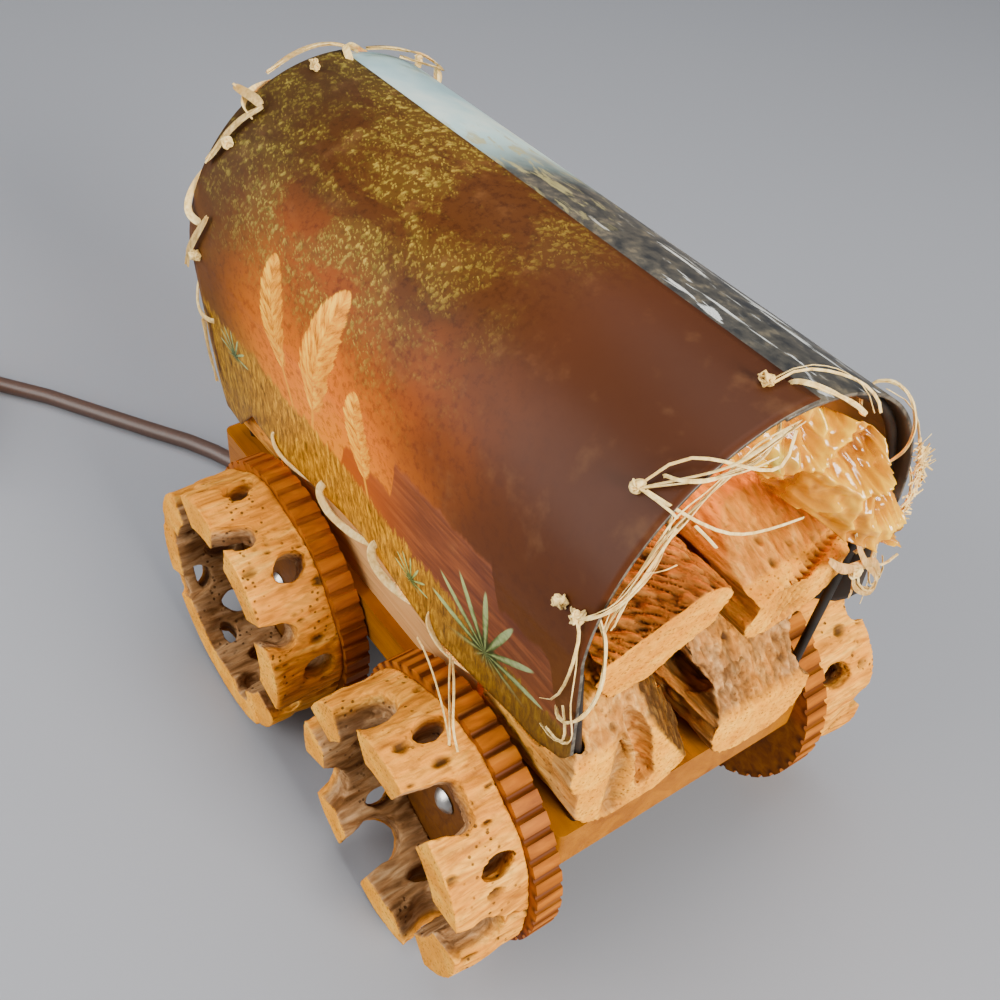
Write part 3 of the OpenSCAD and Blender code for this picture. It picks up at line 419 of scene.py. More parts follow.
def wheel_slice(corner, axle_x, seed):
    node = "wheel_slice_" + corner
    axle = Vector((axle_x, 0, AXLE_Z / MM))
    mesh = remeshed(node, SLICE_VOXEL, parts=[(axle, *part) for part in BRIDGES.get(corner, ())])
    p = points_of(mesh)
    at_face = np.abs(p[:, 1]) > SLICE_OUT - 0.35 * MM
    soften(mesh, at_face, 5)
    p, n = points_of(mesh), points_of(mesh, "normal")
    radius = np.hypot(p[:, 0] - axle_x * MM, p[:, 2] - AXLE_Z)
    deep = np.abs(p[:, 1])
    sawn = np.clip((np.abs(n[:, 1]) - 0.75) * 6, 0, 1)
    sawn = sawn * np.clip((deep - SLICE_OUT + 0.9 * MM) / (0.5 * MM), 0, 1)
    inner = np.clip((SLICE_R - 2.6 * MM - radius) / (3 * MM), 0, 1) * (1 - sawn)
    outside = np.clip((radius - SLICE_R + 3.2 * MM) / (1.6 * MM), 0, 1) * (1 - sawn)
    along = (1, 0.22, 1)
    lumps = field(p, 10 * MM, (1, 0.8, 1), seed)
    fibres = ridges(p, 2.6 * MM, along, seed + 3)
    fine = ridges(p, 1.25 * MM, along, seed + 9)
    patch = np.clip(3.2 * field(p, 8 * MM, seed=seed + 20) - 0.75, 0, 1)
    if corner in SPONGY_SPOTS:
        turn, y = SPONGY_SPOTS[corner]
        turn = math.radians(turn)
        spot = axle + Vector((math.cos(turn), 0, math.sin(turn))) * 36 + Vector((0, y, 0))
        far = np.linalg.norm(p - np.array(spot * MM), axis=1)
        patch = np.maximum(patch, np.clip(2.2 - far / (5 * MM), 0, 1))
    dents = pits(p, 5.2 * MM, 0.30, (1, 0.7, 1), seed + 5) * outside
    specks = pits(p, 1.9 * MM, 0.72, (1, 0.55, 1), seed + 11) * outside * patch
    rough = (1 - sawn) * np.clip((SLICE_OUT - deep) / (1.2 * MM), 0.15, 1)
    seat = np.clip((deep - SLICE_IN) / (0.8 * MM), 0, 1)
    move = rough * seat * (0.95 * lumps - 0.32 * fibres - 0.14 * fine) * MM
    move -= seat * (1.5 * dents + 0.8 * specks) * MM
    p += n * np.minimum(move, 0.45 * MM)[:, None]
    mesh.vertices.foreach_set("co", p.ravel())
    mark_points(mesh, "sawn", sawn)
    mark_points(mesh, "inner", inner)
    # Painted shade in the dents, the pits and the fine fibre grooves.
    mark_points(mesh, "groove", np.clip(1.1 * dents + 0.9 * specks + 0.35 * fine * rough, 0, 1))
    mesh.shade_smooth()
    piece = new_piece("cholla_wheel_" + corner, mesh, "wheel_" + corner, "cactus_wood", WHEEL_WOOD)
    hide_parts(node)
    return len(mesh.polygons)


for seed, (corner, axle_x) in enumerate(WHEELS.items()):
    print("wheel slice", corner, wheel_slice(corner, axle_x, 2.7 * seed), "faces")

# %% [markdown]
# ## Varnished wood
# The discs behind the slices are turned wood with a groove between each pair of ribs; painted shade darkens
# the grooves and the middle of each disc, inside the slice's hollow. The plank, the axle bars and the side
# boards are plain boards, so grain in long stretched noise is all they need.

# %% Discs and boards
RIBS = 44


def board(name, dark, light, roughness, along="X", shine=0.25):
    wood = Finish(name, Roughness=roughness, Coat_Weight=shine, Coat_Roughness=0.25, Specular_IOR_Level=0.08)
    stretch = tuple(0.05 if axis == along else 1.0 for axis in "XYZ")
    at = wood.shift((0.013, 0.021, 0.007), stretch)
    rings = wood.noise(at, 120, 4, 0.55, 1.2)
    pores = wood.noise(at, 1400, 3, 0.6)
    tone = wood.ramp(rings, (0.3, dark), (0.5, tuple((d + b) / 2 for d, b in zip(dark, light))), (0.7, light))
    tone = wood.mix(pores.step(0.55, 0.68) * 0.4, tone, tuple(c * 0.45 for c in dark))
    wear = wood.noise(wood.place(), 35, 3, 0.5)
    tone = wood.mix(wear.step(0.5, 0.7) * 0.25, tone, light)
    wood.feed("Base Color", tone)
    wood.feed("Roughness", roughness - 0.08 + pores * 0.16)
    wood.bump(rings * 0.4 + pores, 0.3, 0.0003)
    return wood


def rib_wood(corner, axle_x, depth):
    wood = Finish("ribbed_disc_" + corner, Roughness=0.5, Coat_Weight=0.03, Coat_Roughness=0.35,
                  Specular_IOR_Level=0.1)
    here = wood.shift((-axle_x * MM, 0, -AXLE_Z))
    x, _, z = wood.axes(here)
    turn = z.math("ARCTAN2", x) * (RIBS / (2 * math.pi))
    groove = 1 - (turn.math("FRACT") - 0.5).math("ABSOLUTE").step(0.02, 0.40)
    reach = (x * x + z * z).math("SQRT")
    rim = reach.step(35.6 * MM, 37.4 * MM)
    grain = wood.noise(wood.shift((0, 0, 0), (1, 0.2, 1)), 260, 4, 0.6, 0.6)
    tone = wood.ramp(grain, (0.3, (0.17, 0.042, 0.001)), (0.52, (0.31, 0.086, 0.002)),
                     (0.72, (0.44, 0.145, 0.006)))
    # Painted shade in the grooves between the ribs, as strong as the wheel's given share.
    tone = wood.mix(groove * rim * depth, tone, (0.060, 0.013, 0.002))
    # Painted shade on the middle of the disc, inside the slice's hollow.
    tone = wood.mix((1 - reach.step(25 * MM, 31 * MM)) * 0.75, tone, (0.040, 0.017, 0.006))
    wood.feed("Base Color", tone)
    wood.feed("Roughness", 0.44 + grain * 0.2)
    wood.bump(grain, 0.3, 0.0004)
    return wood


# How strongly the rib grooves of each wheel are darkened as painted shade.
RIB_GROOVE_SHADE = {"front_near": 0.9, "front_far": 0.8, "rear_near": 0.35, "rear_far": 0.5}
for corner, axle_x in WHEELS.items():
    dress("wheel_disc_" + corner, rib_wood(corner, axle_x, RIB_GROOVE_SHADE[corner]))
PLANK = board("varnished_plank", (0.20, 0.058, 0.0), (0.34, 0.118, 0.0), 0.36, shine=0.05)
BAR = board("axle_bar_wood", (0.18, 0.058, 0.007), (0.34, 0.125, 0.015), 0.45, along="Y")
SIDE = board("side_board_wood", (0.46, 0.215, 0.065), (0.62, 0.33, 0.12), 0.5, shine=0.08)
dress("base_plank", PLANK)
for node in ("front_axle_bar", "rear_axle_bar"):
    dress(node, BAR)
for node in ("side_board_near", "side_board_far"):
    dress(node, SIDE)
print("discs and boards dressed")

# %% [markdown]
# ## End logs
# The logs are lengths of the same wood, laid lengthwise. Their ends are sawn and grainy, the tops are torn
# into fibres, and each log has its own colour. The remeshed solid is torn by grooves that run along the log
# and bulged a little where the lattice swells. Two of them have the groove or the valley of a split end as
# well. Painted shade darkens the torn grooves, the holes, the dips of the sawn ends, the split's groove and
# valley, and the lower near log's split face in the gap between the logs.

# %% Logs
LOGS = {"front_log_lower_near": (LOG_PALE, 1.1, 0.55, 0.0, 2.4),
        "front_log_lower_far": (LOG_GREY, 1.3, 1.0, 0.15, 2.0),
        "front_log_upper_near": (LOG_RED, 0.9, 1.2, TORN, 1.5),
        "front_log_upper_far": (LOG_TAN, 0.8, 0.55, 0.0, 2.2),
        "rear_log_near": (LOG_TAN, 1.1, 0.5, 0.0, 2.4),
        "rear_log_far": (LOG_GREY, 1.1, 0.5, 0.0, 2.4)}
SAW_CUTS = {"front_log_upper_near": ((82, 0, 122), Vector((1, 0, -0.176)).normalized()),
            "front_log_upper_far": ((84.3, 1.7, 110), Vector((1, 0.047, -0.14)).normalized())}
SPLITS = {"front_log_upper_far": ((80, 0, 117.5), Vector((0.455, 0, 1)).normalized()),
          "front_log_lower_near": ((83.5, -24, 97.4), Vector((0.5, 0.73, 0.46)).normalized())}
LOG_VOXEL = 0.55 * MM
GROOVE_AT, GROOVE_WAY, GROOVE_DEPTH = (83.8, 14.4), (0.949, 0.316), 2.4
BEVEL_FROM, BEVEL_SKEW = 79.3, 0.075
VALLEY_Y, VALLEY_HALF, VALLEY_DEPTH = -25.5, 3.2, 2.8


def on_plane(p, n, place, way, depth):
    """1 on the face that a cut has left, 0 elsewhere."""
    below = -(p - np.array(place) * MM) @ np.array(way)
    return np.clip((n @ np.array(way) - 0.62) * 5, 0, 1) * np.clip((depth * MM - below) / (1.2 * MM), 0, 1)


def end_log(node, finish, swell, tear, swing, coarse, seed):
    cuts = [table[node] for table in (SAW_CUTS, SPLITS) if node in table]
    mesh = remeshed(node, LOG_VOXEL, cuts)
    low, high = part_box(node)
    p = points_of(mesh)
    soften(mesh, np.zeros(len(p), bool), 3)
    p, n = points_of(mesh), points_of(mesh, "normal")
    front_cut = SAW_CUTS.get(node, ((high[0] / MM, 0, 0), (1, 0, 0)))
    ends = np.maximum(on_plane(p, n, *front_cut, 2.2), on_plane(p, n, (low[0] / MM, 0, 0), (-1, 0, 0), 2.2))
    sway = 1.5 * MM * np.sin(p[:, 0] / (9 * MM) + seed)
    run = p[:, 0] * math.cos(swing) + p[:, 1] * math.sin(swing)
    across = p[:, 1] * math.cos(swing) - p[:, 0] * math.sin(swing) + sway
    twist = np.stack([run, across, p[:, 2]], 1)
    along = (0.14, 1, 0.45)
    lumps = field(p, 12 * MM, (0.7, 1, 1), seed)
    torn = ridges(twist, coarse * MM, along, seed + 2)
    fine = ridges(twist, coarse * 0.5 * MM, along, seed + 6)
    grain = field(p, 1.3 * MM, (1, 1, 1), seed + 8)
    holes = pits(p, 3.4 * MM, 0.20, (0.6, 1, 1), seed + 4)
    seat = np.clip((p[:, 2] - low[2]) / (1.0 * MM), 0, 1)
    seam = np.zeros(len(p))
    x, y, _ = (p / MM).T
    if node == "front_log_upper_far":
        sloped = np.clip(x - BEVEL_FROM + BEVEL_SKEW * (y - 4.4), 0, 1)
        ends = np.maximum(ends, on_plane(p, n, *SPLITS[node], 2.2) * sloped)
        aside = (x - GROOVE_AT[0]) * GROOVE_WAY[0] + (y - GROOVE_AT[1]) * GROOVE_WAY[1]
        steps = 0.65 + 0.35 * np.sin((y * GROOVE_WAY[0] - x * GROOVE_WAY[1]) * 3.0)
        seam = GROOVE_DEPTH * ends * np.clip(1.5 - np.abs(aside) / 1.2, 0, 1) * steps
    if node == "front_log_lower_near":
        seam = VALLEY_DEPTH * ends * np.exp(-((y - VALLEY_Y) / VALLEY_HALF) ** 2)
    barky = 1 - ends
    move = barky * (swell * 0.55 * lumps - tear * (0.65 * torn + 0.35 * fine) - 0.9 * holes)
    move += ends * (0.25 * grain + 0.35 * lumps - 0.25 * holes - 0.3) - seam
    p += n * (np.minimum(move, 0.25) * seat * MM)[:, None]
    mesh.vertices.foreach_set("co", p.ravel())
    # Along the split's groove or valley the sawn colour gives way to grey: painted shade.
    mark_points(mesh, "sawn", ends * np.clip(0.9 - 0.28 * seam, 0, 1))
    worn = np.clip(0.5 + 0.9 * field(p, 14 * MM, (0.6, 1, 1), seed + 12), 0, 1) * barky
    mark_points(mesh, "inner", np.clip(worn + 0.5 * seam, 0, 1))
    # Painted shade: near black in torn grooves and holes, in the dips of the sawn ends, along the split's
    # groove and valley, and on the lower near log's split face.
    dark = barky * (tear * (0.5 * torn + 0.4 * fine) + 0.8 * holes)
    dark += 0.22 * ends * np.clip(-grain * 2.2, 0, 1)
    if node == "front_log_upper_far":
        dark += 0.2 * seam
    if node == "front_log_lower_near":
        dark += 0.8 * on_plane(p, n, *SPLITS[node], 3) + 0.16 * seam
    mark_points(mesh, "groove", np.clip(dark, 0, 1))
    mesh.shade_smooth()
    piece = new_piece(node.replace("log", "cholla"), mesh, "wagon", "cactus_wood", finish)
    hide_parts(node)
    return len(mesh.polygons)


for seed, (node, looks) in enumerate(LOGS.items()):
    print(node, end_log(node, *looks, 4.1 * seed), "faces")

# %% [markdown]
# ## Metal, plastic and glass
# The small lamp parts stay as the frame has them and only take finishes: steel nails, wire hoops painted
# near black as shade, a brown moulded socket, brass, black plastic and a frosted bulb that glows.


# %% Small finishes
def metal(name, colour, roughness):
    finish = Finish(name, Metallic=1.0)
    scratch = finish.noise(finish.shift((0, 0, 0), (1, 1, 6)), 700, 3, 0.6)
    dull = finish.noise(finish.place(), 180, 3, 0.5)
    finish.feed("Base Color", finish.mix(dull.step(0.45, 0.7) * 0.5, colour, tuple(c * 0.55 for c in colour)))
    finish.feed("Roughness", roughness + scratch * 0.2)
    finish.bump(scratch, 0.15, 0.0001)
    return finish


def plastic(name, colour, roughness):
    finish = Finish(name, Roughness=roughness)
    speck = finish.noise(finish.place(), 900, 3, 0.6)
    tone = finish.mix(speck.step(0.4, 0.7) * 0.5, colour, tuple(c * 1.35 + 0.004 for c in colour))
    finish.feed("Base Color", tone)
    finish.feed("Roughness", roughness - 0.06 + speck * 0.14)
    finish.bump(speck, 0.12, 0.0001)
    return finish


STEEL = metal("bright_steel", (0.50, 0.48, 0.45), 0.26)
# The hoop wire is painted near black, as shade, so the hoops sink into the dark gaps at the rims.
SHADE_DARK_WIRE = metal("hoop_wire", (0.055, 0.048, 0.042), 0.42)
BRASS = metal("brass", (0.72, 0.50, 0.20), 0.2)
SOCKET = plastic("brown_socket", (0.075, 0.034, 0.016), 0.38)
KEY = plastic("black_key", (0.012, 0.011, 0.010), 0.3)
RUBBER = plastic("bushing_rubber", (0.020, 0.017, 0.015), 0.65)
CORD = plastic("brown_cord", (0.060, 0.030, 0.020), 0.42)
TIE = plastic("black_tie", (0.012, 0.012, 0.012), 0.55)
GLASS = Finish("lit_bulb", Roughness=0.35, Emission_Strength=6.0)
hot = GLASS.noise(GLASS.place(), 60, 2, 0.5)
GLASS.feed("Base Color", GLASS.mix(hot, (1.0, 0.86, 0.62), (1.0, 0.92, 0.75)))
GLASS.feed("Emission Color", GLASS.mix(hot, (1.0, 0.55, 0.18), (1.0, 0.68, 0.30)))
for finish, nodes in ((STEEL, ("axle_nails", "bed_nails", "socket_bracket", "bracket_screws")),
                      (SHADE_DARK_WIRE, ("front_hoop", "rear_hoop")),
                      (BRASS, ("socket_locknut", "bulb_base", "plug_blades")),
                      (CORD, ("lead_inside", "plug_body")), (SOCKET, ("lamp_socket",)),
                      (KEY, ("switch_key",)), (RUBBER, ("cord_bushing",)), (TIE, ("coil_tie",)),
                      (GLASS, ("bulb_glass",))):
    for node in nodes:
        dress(node, finish)
print("small parts dressed")

# %% [markdown]
# ## The cord
# A brown mains lead leaves the bushing under the bed, curves down to the table and runs off to the left.
# The length that the view doesn't reach is wound into a flat coil in two layers, tied, with its plug beside
# it. One curve follows the whole route, and its round bevel gives the sheath.

# %% Cord
CORD_D = 6 * MM
CORD_ROUTE = [
    (-5, 0, 30), (-5, 0, 28), (-5.9, 0, 21.5), (-8.4, 0, 15.5), (-12.4, 0, 10.4), (-17.6, 0, 6.5),
    (-23.6, 0, 4), (-30, 0, 3.1), (-43, -0.8, 3.1), (-57, -2, 3.1), (-73, -4.5, 3.1), (-89, -7.8, 3.1),
    (-104, -11.5, 3.1), (-119, -15.8, 3.1), (-133, -20.5, 3.1), (-142, -24.3, 3.1), (-152, -29.8, 3.1),
    (-166, -39.4, 3.1), (-185, -52, 3.1), (-204, -64.5, 3.1), (-220, -77.2, 3.1), (-235, -88.9, 3.7),
    (-244.5, -96.6, 4.2), (-249, -100.65, 4.2)]
COIL_MID = (-222, -139.6)
COIL_OUT_R, COIL_PITCH, COIL_START, COIL_TURNS, COIL_Z = 47, 6.6, 132, 6.385, 4.2
COIL_RINGS, COIL_CLIMB, TAIL_L, TAIL_DROP, PLUG_Z = 24, 0.25, 38, 1.4, 6


def ease(k):
    k = min(max(k, 0), 1)
    return k * k * (3 - 2 * k)


def coil_point(t):
    turn = math.radians(COIL_START + 360 * t)
    reach = COIL_OUT_R - COIL_PITCH * min(t, COIL_TURNS - t)
    lift = COIL_Z + COIL_PITCH * ease((t - COIL_TURNS / 2 + COIL_CLIMB) / (2 * COIL_CLIMB))
    return COIL_MID[0] + reach * math.cos(turn), COIL_MID[1] + reach * math.sin(turn), lift


coil_steps = round(COIL_TURNS * COIL_RINGS)
route = [Vector(p) for p in CORD_ROUTE]
route += [Vector(coil_point(COIL_TURNS * i / coil_steps)) for i in range(coil_steps + 1)]
last_turn = math.radians(COIL_START + 360 * COIL_TURNS)
leave = Vector((-math.sin(last_turn), math.cos(last_turn), 0))
coil_end = route[-1].copy()
for share in (0.25, 0.5, 0.75, 1):
    drop = Vector((0, 0, (PLUG_Z - coil_end.z) * ease(share * TAIL_DROP)))
    route.append(coil_end + leave * (TAIL_L * share) + drop)
cord_curve = bpy.data.curves.new("mains_cord", "CURVE")
cord_curve.dimensions = "3D"
cord_curve.bevel_depth = CORD_D / 2
cord_curve.bevel_resolution = 4
cord_curve.use_fill_caps = True
line = cord_curve.splines.new("POLY")
line.points.add(len(route) - 1)
for point, place in zip(line.points, route):
    point.co = (*(place * MM), 1)
mains_cord = linked("mains_cord", cord_curve)
cord_curve.materials.append(CORD.material)
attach(mains_cord, "wagon")
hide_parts("cord_free", "cord_coil")

# %% [markdown]
# ## The shade's picture
# The shade is a stiff printed sheet, lit from inside. Its print here is a plain desert evening of our own:
# a drift of gold leaves in a dark sky, feathery plumes, a low tableland, agaves and a bank of grass. The
# far sheet has a pale sky over dark ground with chalky streaks. Both are painted on the sheet's own map, in
# millimetres from the rear rim and from the lower edge, so nothing slides. The bulb's glow is the same
# picture fed to Emission Color, strongest beside the bulb, and its orange is also painted into the warm
# print's own colour, low in the sky and on the rear of the tableland.

# %% Shade prints
SHADE_X = (-86, 83)
SHADE_L = SHADE_X[1] - SHADE_X[0]
MAP_V = 150
BULB = (-5 * MM, 0, 122 * MM)


def shade_map(paper):
    uv = paper.add("ShaderNodeUVMap", {"uv_map": "sheet"})
    u, v, _ = paper.axes(uv)
    return u * SHADE_L + SHADE_X[0], v * MAP_V


def flat_at(paper, u, v, su=1.0, sv=1.0):
    return paper.add("ShaderNodeCombineXYZ", None, {0: u * su, 1: v * sv})


def lit(paper, tone, centre, reach, warm, strength):
    """Feeds a picture to the shader, with the bulb's light through the sheet."""
    glow = 1 - paper.distance(centre).step(*reach)
    paper.feed("Base Color", tone)
    paper.feed("Emission Color", paper.mix(glow, (0, 0, 0), paper.mix(1.0, tone, warm, "MULTIPLY")))
    paper.shader.inputs["Emission Strength"].default_value = strength


def plume(paper, u, v, foot, top, half):
    """A feathery seed head between two points of the sheet: its mask, and the feathers inside it."""
    lean = math.atan2(top[0] - foot[0], top[1] - foot[1])
    length = math.hypot(top[0] - foot[0], top[1] - foot[1])
    du, dv = u - foot[0], v - foot[1]
    share = (du * math.sin(lean) + dv * math.cos(lean)) / length
    across = du * math.cos(lean) - dv * math.sin(lean)
    barb = paper.noise(flat_at(paper, across.math("ABSOLUTE") - share * 30, across, 0.55, 0.3), 0.9, 4, 0.7)
    swell = (share * (1 - share) * 4).math("MAXIMUM", 0.0) ** 0.6
    edge = across.math("ABSOLUTE") - half * swell * (0.55 + barb * 0.9)
    stem = across.band(0, 0.55, 0.3) * share.band(-0.55, 0.6, 0.02)
    shade = (across / half).step(-0.3, 0.9) * 0.55 + across.band(0, 0.25, 0.35) * 0.4
    return (1 - edge.step(-0.5, 0.4)) * share.band(0.5, 0.5, 0.02), stem, barb, shade


PLUMES = (((-36, 34), (-44, 62), 5.5), ((-22, 30), (-14, 68), 6.5), ((2, 26), (-1, 50), 5.0))
AGAVES = ((52, 13, 21), (-68, 17, 9), (22, 9, 8))


def warm_print():
    paper = Finish("warm_print", Roughness=0.42, Coat_Weight=0.04, Coat_Roughness=0.3, Specular_IOR_Level=0.1)
    u, v = shade_map(paper)
    flat = flat_at(paper, u, v)
    blot = paper.noise(flat, 0.022, 3, 0.55)
    fine = paper.noise(flat, 0.55, 4, 0.65)
    # The orange low in the sky is the bulb's glow through the sheet, painted into the print's colour.
    sky = paper.ramp((v - 24 + (blot - 0.5) * 46) / 100, (0.0, (0.44, 0.150, 0.0)),
                     (0.17, (0.40, 0.105, 0.0)), (0.34, (0.18, 0.040, 0.0)), (0.54, (0.048, 0.016, 0.003)))
    mottle = paper.noise(flat, 0.40, 5, 0.75)
    sky = paper.mix(mottle.step(0.46, 0.66) * 0.7, sky, (0.42, 0.28, 0.2), "MULTIPLY")
    dusk = (u + (blot - 0.5) * 40).step(2, 48)
    sky = paper.mix(dusk * 0.93, sky, (0.052, 0.015, 0.005))
    sky = paper.mix((1 - (u + blot * 24).step(-64, -28)) * 0.8, sky, (0.040, 0.018, 0.006))
    drift = paper.noise(flat_at(paper, u, v, 0.7, 1.2), 0.045, 5, 0.7, 0.6)
    crown = drift.step(0.42, 0.58) * (v + blot * 20).step(52, 78) * (1 - (u + blot * 30).step(4, 52))
    fleck = paper.cells(flat_at(paper, u + fine * 3, v - u * 0.3, 1.0, 0.7), 0.60)
    small = paper.cells(flat_at(paper, u + fine * 4, v + u * 0.4, 0.8, 1.0), 1.20)
    leaves = (1 - fleck.step(0.22, 0.46)).math("MAXIMUM", 1 - small.step(0.20, 0.44))
    leaf = paper.mix(fine.step(0.3, 0.7), (0.060, 0.046, 0.006), (0.28, 0.205, 0.035))
    sky = paper.mix(crown * 0.4, sky, (0.085, 0.054, 0.008))
    sky = paper.mix(crown * leaves * 0.9, sky, leaf)
    shelf = paper.noise(flat_at(paper, u, v, 1, 0.0), 0.16, 4, 0.6)
    table = 22 + u.band(36, 20, 2.5) * 21 + u.band(66, 9, 2) * 12 + u.band(4, 12, 3) * 9 + (shelf - 0.5) * 7
    butte = 1 - (v - table).step(-0.8, 0.8)
    strata = paper.noise(flat_at(paper, u, v, 0.12, 1.0), 0.45, 3, 0.6)
    rock = paper.ramp(strata, (0.3, (0.070, 0.020, 0.012)), (0.5, (0.115, 0.034, 0.016)),
                      (0.7, (0.19, 0.058, 0.022)))
    # Painted glow: the tableland turns orange from about the bulb rearwards.
    rock = paper.mix((1 - u.step(-6, 30)) * 0.75, rock, (0.24, 0.046, 0.0))
    tone = paper.mix(butte, sky, rock)
    for foot, top, half in PLUMES:
        plumed, stem, barb, shade = plume(paper, u, v, foot, top, half)
        down = paper.ramp(barb, (0.34, (0.22, 0.062, 0.0)), (0.48, (0.50, 0.21, 0.002)),
                          (0.62, (0.70, 0.40, 0.025)))
        down = paper.mix(shade, down, (0.30, 0.088, 0.0))
        tone = paper.mix(stem * 0.8, tone, (0.46, 0.22, 0.006))
        tone = paper.mix(plumed, tone, down)
    bank = 18 + paper.noise(flat_at(paper, u, v, 1, 0.0), 0.045, 3, 0.5) * 14 - u.step(-60, 70) * 9
    blade = paper.noise(flat_at(paper, u, v, 1.0, 0.28), 0.75, 4, 0.7, 0.6)
    grass = paper.ramp(blade, (0.3, (0.040, 0.018, 0.001)), (0.48, (0.20, 0.088, 0.003)),
                       (0.62, (0.38, 0.195, 0.006)), (0.78, (0.52, 0.34, 0.030)))
    grass = paper.mix(u.step(10, 70) * 0.65, grass, (0.055, 0.032, 0.012))
    tone = paper.mix(1 - (v - bank - (blade - 0.5) * 9).step(-1.2, 1.2), tone, grass)
    for mid_u, mid_v, size in AGAVES:
        du, dv = (u - mid_u) / size, (v - mid_v) / size
        spread = (du * du + dv * dv).math("SQRT")
        fan = (du.math("ARCTAN2", dv) * 6.5).math("COSINE").math("ABSOLUTE")
        leafy = 1 - (spread - fan ** 5 * 0.72 - 0.24).step(-0.05, 0.05)
        green = paper.ramp(fan ** 3 * 0.5 + spread * 0.25 + (fine - 0.5) * 0.6, (0.1, (0.012, 0.026, 0.008)),
                           (0.4, (0.065, 0.105, 0.032)), (0.7, (0.26, 0.33, 0.15)))
        tone = paper.mix(leafy * dv.step(-0.25, 0.0), tone, green)
    fade = paper.noise(flat, 0.09, 4, 0.6)
    tone = paper.mix(fade.step(0.55, 0.75) * 0.12, tone, (0.30, 0.15, 0.06))
    lit(paper, tone, BULB, (40 * MM, 88 * MM), (1.0, 0.66, 0.0), 1.4)
    paper.feed("Roughness", 0.36 + fade * 0.2)
    paper.bump(fade, 0.15, 0.0006)
    return paper


def sky_print():
    paper = Finish("sky_print", Roughness=0.4, Coat_Weight=0.2, Coat_Roughness=0.3)
    u, v = shade_map(paper)
    flat = flat_at(paper, u, v)
    blot = paper.noise(flat, 0.03, 4, 0.6)
    day = paper.ramp(blot, (0.3, (0.20, 0.36, 0.40)), (0.5, (0.36, 0.52, 0.53)), (0.7, (0.62, 0.68, 0.60)))
    ground = paper.ramp(paper.noise(flat, 0.25, 4, 0.65), (0.35, (0.012, 0.012, 0.012)),
                        (0.55, (0.05, 0.045, 0.035)), (0.75, (0.16, 0.13, 0.08)))
    ridge = (u + (blot - 0.5) * 44 + (v - 100) * 0.5).step(-36, -10)
    tone = paper.mix(ridge, day, ground)
    brush = paper.noise(flat_at(paper, u, v, 0.4, 1.3), 0.16, 5, 0.7, 1.0)
    scrub = brush.step(0.54, 0.62) * u.band(-14, 26, 12)
    tone = paper.mix(scrub * 0.75, tone, (0.30, 0.27, 0.11))
    streak = paper.noise(flat_at(paper, u, v, 0.16, 1.0), 0.30, 4, 0.65, 0.5)
    chalk = streak.step(0.575, 0.63) * u.step(2, 26)
    tone = paper.mix(chalk * 0.85, tone, (0.60, 0.62, 0.60))
    lit(paper, tone, BULB, (40 * MM, 78 * MM), (1.0, 0.72, 0.38), 0.7)
    paper.feed("Roughness", 0.34 + blot * 0.2)
    paper.bump(blot, 0.1, 0.0006)
    return paper


PRINT_WARM = warm_print()
PRINT_SKY = sky_print()
LINING = Finish("shade_lining", Roughness=0.6)
haze = LINING.noise(LINING.place(), 90, 4, 0.6)
# Painted shade: the lining turns dark towards the front.
front_shade = LINING.axes()[0].step(30 * MM, 72 * MM)
tone = LINING.mix(front_shade, LINING.mix(haze, (0.50, 0.31, 0.13), (0.66, 0.45, 0.22)), (0.030, 0.022, 0.016))
lit(LINING, tone, BULB, (36 * MM, 95 * MM), (1.0, 0.60, 0.22), 0.8)
CUT_EDGE = Finish("sheet_edge", Roughness=0.5)
grime = CUT_EDGE.noise(CUT_EDGE.place(), 500, 3, 0.6)
CUT_EDGE.feed("Base Color", CUT_EDGE.mix(grime.step(0.4, 0.6), (0.11, 0.092, 0.066), (0.036, 0.030, 0.022)))
print("prints made")

# %% [markdown]
# ## The shade sheets
# Each sheet is a grid laid over the arch: the long way follows the bed, the short way climbs a straight
# side and goes over the crown. Its lower edge follows the cut, lower at the rear corner and cut up at the
# front, and the free edges wave a little. Solidify gives the thickness, with the lining inside and a dark
# cut edge.

# %% Shade sheets
SHADE_R, SHEET_T, LAP_STEP = 45.6, 0.8, 0.9
EDGE_Z, ARCH_Z, SIDE_IN, SIDE_TUCK = 83.7, 124.7, 3.4, 0.25
SIDE_H = ARCH_Z - EDGE_Z
REAR_DIP, CORNER_RISE, SEAM_Y, LAP_W = 14, 14, 2, 8
TRIM = [(-87, EDGE_Z - REAR_DIP), (-76, EDGE_Z - REAR_DIP), (-62, EDGE_Z), (70, EDGE_Z),
        (80, EDGE_Z + CORNER_RISE * 0.45), (84, EDGE_Z + CORNER_RISE)]


def lower_edge(x):
    return float(np.interp(x, [t[0] for t in TRIM], [t[1] for t in TRIM]))


def half_width(r, z):
    foot = r - SIDE_IN
    return foot + (z - EDGE_Z) * (r - SIDE_TUCK - foot) / SIDE_H


def arch_place(r, s):
    """Width and height on the arch, s mm up from the lower edge's own level."""
    if s < SIDE_H:
        return half_width(r, EDGE_Z + s), EDGE_Z + s
    turn = (s - SIDE_H) / r
    return r * math.cos(turn), ARCH_Z + r * math.sin(turn)


